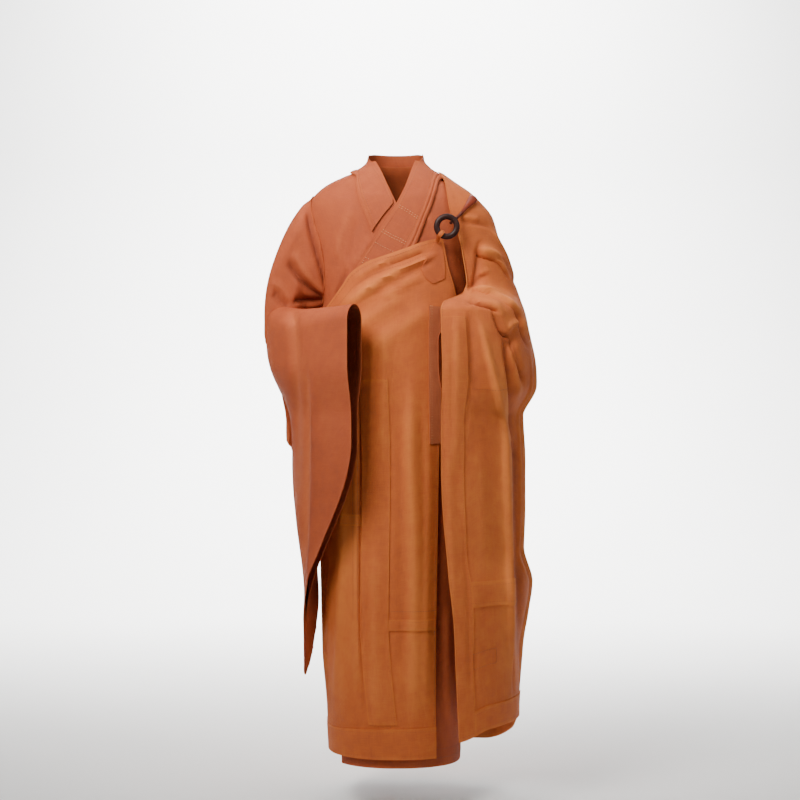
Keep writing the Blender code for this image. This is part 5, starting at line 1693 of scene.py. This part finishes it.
@dataclass
class Fastener:
    """The polished ring, the cloth tab that holds it, and the hook through it."""

    ring_horn: Horn
    hook_horn: Horn
    cloth: Cloth
    ring_steps: int = 112
    tube_steps: int = 28
    hook_steps: int = 9
    hook_sides: int = 28

    def build(self, shop: Workshop) -> None:
        """Make the three parts.

        Args:
            shop: Workshop that places them.
        """
        self._ring(shop)
        self._tab(shop)
        self._hook(shop)

    def _ring(self, shop: Workshop) -> None:
        """The ring, its tube a little flattened front to back, with two fine turned lines."""
        step, turn = np.meshgrid(np.arange(self.ring_steps), np.arange(self.tube_steps),
                                 indexing="ij")
        angle = 2.0 * np.pi * step / self.ring_steps
        roll = 2.0 * np.pi * turn / self.tube_steps
        tube = RING_TUBE * (1.0 - 0.035 * np.exp(-((np.degrees(roll) - 250.0) / 9.0) ** 2)
                            - 0.035 * np.exp(-((np.degrees(roll) - 300.0) / 9.0) ** 2))
        reach = RING_RADIUS + tube * np.cos(roll)
        points = np.stack((reach * np.cos(angle), tube * 0.85 * np.sin(roll),
                           reach * np.sin(angle)), axis=-1) + RING_CENTRE
        ahead, after = (step + 1) % self.ring_steps, (turn + 1) % self.tube_steps
        corners = ((step, turn), (step, after), (ahead, after), (ahead, turn))
        faces = np.stack([s * self.tube_steps + t for s, t in corners], axis=-1).reshape(-1, 4)
        ring = shop.solid("ring", points.reshape(-1, 3), faces.tolist(), self.ring_horn.material())
        self._warm(ring, np.full(points.size // 3, 0.12))
        shop.place(ring, "dark_horn", ("fastener_ring",))

    @staticmethod
    def _warm(made: bpy.types.Object, values: Curve) -> None:
        """Write how red the horn is at each point."""
        kept = made.data.attributes.new("warm", "FLOAT", "POINT")
        kept.data.foreach_set("value", np.asarray(values, dtype=np.float32))

    @staticmethod
    def _beside(angle: float, roll: float, reach: float) -> Grid:
        """Point beside the ring's tube, a reach from its middle, rolled round it."""
        spoke = np.array((math.cos(angle), 0.0, math.sin(angle)))
        place = np.array(RING_CENTRE) + spoke * (RING_RADIUS + reach * math.cos(roll))
        return place + np.array((0.0, reach * math.sin(roll), 0.0))

    def _tab(self, shop: Workshop) -> None:
        """The cloth tab: up from the wrap's corner, round the ring's tube and back down."""
        angle = math.radians(TAB_ANGLE)
        reach = RING_TUBE + AIR + TAB_THICK / 2.0
        path = [self._beside(angle, roll, reach + AIR * (0.3 - math.cos(roll)))
                for roll in np.radians(TAB_ROLLS)]
        foot = Figure.on_wrap(np.array(TAB_FOOT[0]), np.array(TAB_FOOT[1]))
        foot = foot + np.array((0.0, -CLOTH - AIR * 4 - TAB_THICK * 1.6, 0.0))
        path = spline(np.array([foot, foot * 0.5 + path[0] * 0.5] + path), 5)
        across = np.array((math.sin(angle), 0.0, -math.cos(angle)))
        share = np.linspace(-0.5, 0.5, 9)
        grid = path[:, None] + across * TAB_WIDTH * share[None, :, None]
        sheet = Sheet(grid)
        puff = 0.0003 * np.cos(share * 2.0 * np.pi)[None, :] * np.ones((len(path), 1))
        shop.shell("ring_tab", sheet.out(puff - TAB_THICK / 2.0), self.cloth, ("fastener_tab",),
                   TAB_THICK)

    def _over_drape(self, z: float, x: float, distance: float) -> Grid:
        """Point off the hanging side's face at height z and distance x."""
        turn = float(Figure.drape_turn(z, x))
        high, low = (Figure.drape(np.array(z + s), np.array(turn)) for s in (0.002, -0.002))
        left, right = (Figure.drape(np.array(z), np.array(turn + s)) for s in (1.0, -1.0))
        at = Figure.drape(np.array(z), np.array(turn))
        return at + unit(np.cross(low - high, left - right)) * distance

    def _hook(self, shop: Workshop) -> None:
        """The hook: its bent end behind the ring, its spoon head on the shoulder."""
        angle = math.radians(HOOK_ANGLE)
        reach = RING_TUBE + HOOK_STATIONS[0][2] + 0.0003
        path = [self._beside(angle, math.radians(roll), reach) for roll in HOOK_ROLLS]
        start = path[-1]
        for share, _, thin in HOOK_STATIONS[1:]:
            x = start[0] + (HOOK_HEAD[0] - start[0]) * share
            z = start[2] + (HOOK_HEAD[1] - start[2]) * share
            path.append(self._over_drape(z, x, CLOTH + 0.0003 + thin + 0.0020))
        sizes = np.array([HOOK_STATIONS[0]] * (len(HOOK_ROLLS) - 1) + list(HOOK_STATIONS))
        path, sizes = spline(np.array(path), self.hook_steps), spline(sizes, self.hook_steps)
        end = np.linspace(0.0, 1.0, 5)[1:]
        close = np.sqrt(np.maximum(0.0, 1.0 - end**2)) * 0.999 + 0.001
        tip = path[-1] + (path[-1] - path[-2]) / np.linalg.norm(path[-1] - path[-2]) \
            * (end * 0.0022)[:, None]
        path = np.concatenate((path, tip))
        sizes = np.concatenate((sizes, sizes[-1] * close[:, None]))
        tangent = unit(np.gradient(path, axis=0))
        wide = unit(np.cross(tangent, (0.0, 1.0, 0.0)))
        thin = np.cross(tangent, wide)
        turn = 2.0 * np.pi * np.arange(self.hook_sides) / self.hook_sides
        rings = path[:, None] + wide[:, None] * (sizes[:, 1, None] * np.cos(turn))[..., None] \
            + thin[:, None] * (sizes[:, 2, None] * np.sin(turn))[..., None]
        hook = shop.solid("hook", rings.reshape(-1, 3), shop.loft(rings),
                          self.hook_horn.material())
        along = np.linspace(0.0, 1.0, len(path))
        self._warm(hook, np.repeat(0.25 + 0.75 * ease((along - 0.30) / 0.35), self.hook_sides))
        shop.place(hook, "dark_horn", ("fastener_hook",))


@dataclass
class Snaps:
    """The three press snaps down the front edge of the right cuff."""

    metal: Metal
    radius: float = 0.0032
    thick: float = 0.0016
    inset: float = 0.010
    sides: int = 32

    def build(self, shop: Workshop, sleeve: Sheet) -> None:
        """Set the snaps on the sleeve.

        Args:
            shop: Workshop that places them.
            sleeve: The right sleeve.
        """
        half = sleeve.points.shape[1] // 2
        u, _ = sleeve.lengths()
        for number, height in enumerate(SNAP_HEIGHTS):
            column = int(np.abs(sleeve.points[-1, :half, 2] - height).argmin())
            line = np.linalg.norm(sleeve.points[:, column] - sleeve.points[-1, column], axis=1)
            row = int(np.abs(line - self.inset).argmin())
            normal = sleeve.normals[row, column]
            centre = sleeve.points[row, column] + normal * (CLOTH + 0.0004)
            self._snap(shop, f"snap_{number + 1}", centre, normal, f"sleeve_snap_{number + 1}")

    def _snap(self, shop: Workshop, name: str, centre: Grid, normal: Grid, node: str) -> None:
        """A domed disc with a rolled rim and a dimple in its middle."""
        side = unit(np.cross(normal, (0.0, 0.0, 1.0)))
        up = np.cross(side, normal)
        profile = ((0.0, 0.90), (0.30, 1.0), (0.62, 0.96), (0.78, 0.84), (0.66, 0.70), (0.62, 0.60),
                   (0.84, 0.42), (1.0, 0.26), (0.96, 0.12), (0.80, 0.04))
        turn = 2.0 * np.pi * np.arange(self.sides) / self.sides
        spoke = side * np.cos(turn)[:, None] + up * np.sin(turn)[:, None]
        rings = np.array([centre + normal * self.thick * depth + spoke * self.radius * scale
                          for depth, scale in profile])
        snap = shop.solid(name, rings.reshape(-1, 3), shop.loft(rings), self.metal.material())
        shop.place(snap, "snap_metal", (node,))


@dataclass
class Stitching:
    """Running stitches along the seams, set by a node tree."""

    seams: dict[str, list[Grid]]
    threads: dict[str, Thread]
    slots: dict[str, str]

    def build(self, shop: Workshop) -> None:
        """Sew every group of seams.

        Args:
            shop: Workshop that places the stitches.
        """
        tree = self._tree()
        for group, lines in self.seams.items():
            self._sew(shop, tree, group, lines)

    @staticmethod
    def _tree() -> bpy.types.NodeTree:
        """Node tree that lays a short rounded stitch at each pitch along every line."""
        tree = bpy.data.node_groups.new("running_stitch", "GeometryNodeTree")
        face = tree.interface
        face.new_socket("Lines", in_out="INPUT", socket_type="NodeSocketGeometry")
        for name in ("Pitch", "Length", "Radius"):
            face.new_socket(name, in_out="INPUT", socket_type="NodeSocketFloat")
        face.new_socket("Seed", in_out="INPUT", socket_type="NodeSocketInt")
        face.new_socket("Thread", in_out="INPUT", socket_type="NodeSocketMaterial")
        face.new_socket("Stitches", in_out="OUTPUT", socket_type="NodeSocketGeometry")

        def add(kind: str, **settings: object) -> bpy.types.Node:
            """Add a node with its settings."""
            made = tree.nodes.new(kind)
            for name, value in settings.items():
                setattr(made, name, value)
            return made

        def link(source: bpy.types.Node, output: str | int, target: bpy.types.Node,
                 entry: str | int) -> None:
            """Link one node's output to another's input."""
            tree.links.new(source.outputs[output], target.inputs[entry])

        start, end = add("NodeGroupInput"), add("NodeGroupOutput")
        curve = add("GeometryNodeMeshToCurve")
        spaced = add("GeometryNodeResampleCurve", mode="LENGTH")
        stitch = add("GeometryNodeMeshIcoSphere")
        stitch.inputs["Subdivisions"].default_value = 1
        stitch.inputs["Radius"].default_value = 1.0
        tangent = add("GeometryNodeInputTangent")
        turned = add("FunctionNodeAlignRotationToVector", axis="X")
        vary = add("FunctionNodeRandomValue", data_type="FLOAT")
        vary.inputs[2].default_value = 0.85
        vary.inputs[3].default_value = 1.10
        long = add("ShaderNodeMath", operation="MULTIPLY")
        half = add("ShaderNodeMath", operation="MULTIPLY")
        half.inputs[1].default_value = 0.5
        size = add("ShaderNodeCombineXYZ")
        placed = add("GeometryNodeInstanceOnPoints")
        whole = add("GeometryNodeRealizeInstances")
        smooth = add("GeometryNodeSetShadeSmooth")
        surface = add("GeometryNodeSetMaterial")
        link(start, "Lines", curve, "Mesh")
        link(curve, "Curve", spaced, "Curve")
        link(start, "Pitch", spaced, "Length")
        link(tangent, "Tangent", turned, "Vector")
        link(start, "Seed", vary, "Seed")
        link(start, "Length", half, 0)
        link(half, 0, long, 0)
        link(vary, 1, long, 1)
        link(long, 0, size, "X")
        link(start, "Radius", size, "Y")
        link(start, "Radius", size, "Z")
        link(spaced, "Curve", placed, "Points")
        link(stitch, "Mesh", placed, "Instance")
        link(turned, "Rotation", placed, "Rotation")
        link(size, "Vector", placed, "Scale")
        link(placed, "Instances", whole, "Geometry")
        link(whole, "Geometry", smooth, "Geometry")
        link(smooth, "Geometry", surface, "Geometry")
        link(start, "Thread", surface, "Material")
        link(surface, "Geometry", end, "Stitches")
        return tree

    def _sew(self, shop: Workshop, tree: bpy.types.NodeTree, group: str, lines: list[Grid]) -> None:
        """Sew one group of lines as one object."""
        points = np.concatenate(lines)
        edges, first = [], 0
        for line in lines:
            edges += [(first + i, first + i + 1) for i in range(len(line) - 1)]
            first += len(line)
        mesh = bpy.data.meshes.new(f"stitches_{group}")
        mesh.from_pydata(points.tolist(), edges, [])
        made = added(f"stitches_{group}", mesh)
        modifier = made.modifiers.new("stitches", "NODES")
        modifier.node_group = tree
        values = {"Pitch": STITCH_PITCH, "Length": STITCH_LENGTH, "Radius": STITCH_RADIUS,
                  "Seed": 7, "Thread": self.threads[group].material()}
        for socket in tree.interface.items_tree:
            if socket.in_out == "INPUT" and socket.name in values:
                modifier[socket.identifier] = values[socket.name]
        ready = bpy.context.evaluated_depsgraph_get()
        sewn = bpy.data.meshes.new_from_object(made.evaluated_get(ready))
        made.modifiers.remove(modifier)
        made.data = sewn
        shop.place(made, self.slots[group], ())


@dataclass
class Studio:
    """Pale floor and backdrop, soft lights and the camera."""

    floor: Floor = field(default_factory=Floor)
    floor_z: float = -1.50
    half_width: float = 3.6
    wall_y: float = 5.6
    bend: float = 2.4
    camera_place: Point = (0.0072, -4.0, -0.547)
    lens: float = 75.0

    def build(self) -> None:
        """Set up the floor, lights, world and camera."""
        self._sweep()
        chest, backdrop = (0.0, 0.0, -0.05), (0.0, 5.4, -0.6)
        self._light("key", (-1.15, -1.75, 1.30), chest, 1.1, 25.0, (1.0, 0.97, 0.93), 75.0)
        self._light("fill", (1.8, -1.9, 0.9), chest, 1.5, 6.0, (0.95, 0.975, 1.0), 75.0)
        self._light("top", (0.3, 0.3, 1.8), chest, 1.4, 9.5, (1.0, 0.99, 0.97), 90.0)
        self._light("wall", (0.0, 3.2, 3.2), backdrop, 3.4, 860.0, (1.0, 1.0, 1.0), 120.0)
        world = bpy.data.worlds.new("pale_room")
        world.use_nodes = True
        sky = world.node_tree.nodes["Background"]
        sky.inputs["Color"].default_value = (0.92, 0.94, 0.96, 1.0)
        seen = world.node_tree.nodes.new("ShaderNodeLightPath").outputs["Is Camera Ray"]
        scale = world.node_tree.nodes.new("ShaderNodeMath")
        scale.operation = "MULTIPLY_ADD"
        scale.inputs[1].default_value, scale.inputs[2].default_value = 0.72, 0.13
        world.node_tree.links.new(seen, scale.inputs[0])
        world.node_tree.links.new(scale.outputs[0], sky.inputs["Strength"])
        bpy.context.scene.world = world
        lens = bpy.data.cameras.new("camera")
        lens.lens, lens.sensor_width = self.lens, 36.0
        camera = added("camera", lens)
        camera.location = self.camera_place
        camera.rotation_euler = (math.radians(90.0), 0.0, 0.0)
        bpy.context.scene.camera = camera

    def _sweep(self) -> None:
        """Floor that bends up into a backdrop."""
        bend = np.linspace(0.0, math.pi / 2.0, 24)
        profile = [(-self.half_width, self.floor_z)]
        profile += [(self.wall_y - self.bend + self.bend * math.sin(a),
                     self.floor_z + self.bend * (1.0 - math.cos(a))) for a in bend]
        profile.append((self.wall_y, self.floor_z + 6.0))
        points = [(x, y, z) for y, z in profile for x in (-self.half_width, self.half_width)]
        faces = [[2 * i, 2 * i + 1, 2 * i + 3, 2 * i + 2] for i in range(len(profile) - 1)]
        mesh = bpy.data.meshes.new("floor")
        mesh.from_pydata(points, [], faces)
        mesh.materials.append(self.floor.material())
        mesh.shade_smooth()
        added("floor", mesh)

    @staticmethod
    def _light(name: str, place: Point, target: Point, size: float, power: float,
               colour: Point, spread: float) -> None:
        """A soft square light aimed at a target, which spreads over some degrees."""
        lamp = bpy.data.lights.new(name, "AREA")
        lamp.shape, lamp.size = "SQUARE", size
        lamp.energy, lamp.color = power, colour
        lamp.spread = math.radians(spread)
        made = added(name, lamp)
        made.location = place
        aim = Vector(target) - made.location
        made.rotation_euler = aim.to_track_quat("-Z", "Y").to_euler()


def main() -> None:
    """Build the robe, the wrap, the fastener and their stitches, then the studio."""
    logging.basicConfig(level=logging.INFO, format="%(name)s: %(message)s")
    robe_cloth = Cloth("robe_cloth", "robe_cloth_woven", (0.165, 0.024, 0.005, 1.0),
                       (0.370, 0.063, 0.0125, 1.0), (0.515, 0.118, 0.031, 1.0))
    wrap_cloth = Cloth("wrap_cloth", "wrap_cloth_woven", (0.230, 0.036, 0.005, 1.0),
                       (0.490, 0.098, 0.012, 1.0), (0.650, 0.180, 0.027, 1.0))
    # The folded strip's cloth is a darker copy of the wrap's cloth: painted shade, for a strip that
    # hangs in shadow.
    shaded_strip_cloth = Cloth("wrap_cloth", "shaded_fold", (0.180, 0.034, 0.009, 1.0),
                        (0.350, 0.080, 0.022, 1.0), (0.480, 0.125, 0.040, 1.0))
    patch_cloth = Cloth("wrap_cloth", "patch_cloth", (0.200, 0.031, 0.005, 1.0),
                        (0.420, 0.078, 0.011, 1.0), (0.560, 0.125, 0.026, 1.0))
    dark_horn = Horn("polished_horn", (0.026, 0.009, 0.007, 1.0), (0.110, 0.028, 0.018, 1.0))
    red_horn = Horn("red_horn", (0.034, 0.010, 0.007, 1.0), (0.200, 0.032, 0.014, 1.0))
    shop = Workshop()
    Robe(robe_cloth).build(shop)
    right_sleeve = Sleeves(robe_cloth).build(shop)
    Wrap(wrap_cloth, shaded_strip_cloth, patch_cloth).build(shop)
    Fastener(dark_horn, red_horn, wrap_cloth).build(shop)
    Snaps(Metal("snap_steel", (0.72, 0.60, 0.48, 1.0), (0.40, 0.31, 0.24, 1.0))).build(
        shop, right_sleeve)
    threads = {
        "robe": Thread("robe_thread", (0.230, 0.048, 0.014, 1.0)),
        "wrap": Thread("wrap_thread", (0.270, 0.060, 0.014, 1.0)),
        "cross": Thread("pale_thread", (0.720, 0.330, 0.140, 1.0)),
    }
    slots = {"robe": "robe_cloth", "wrap": "wrap_cloth", "cross": "robe_cloth"}
    Stitching(shop.seams, threads, slots).build(shop)
    Studio().build()


if __name__ == "__main__":
    main()
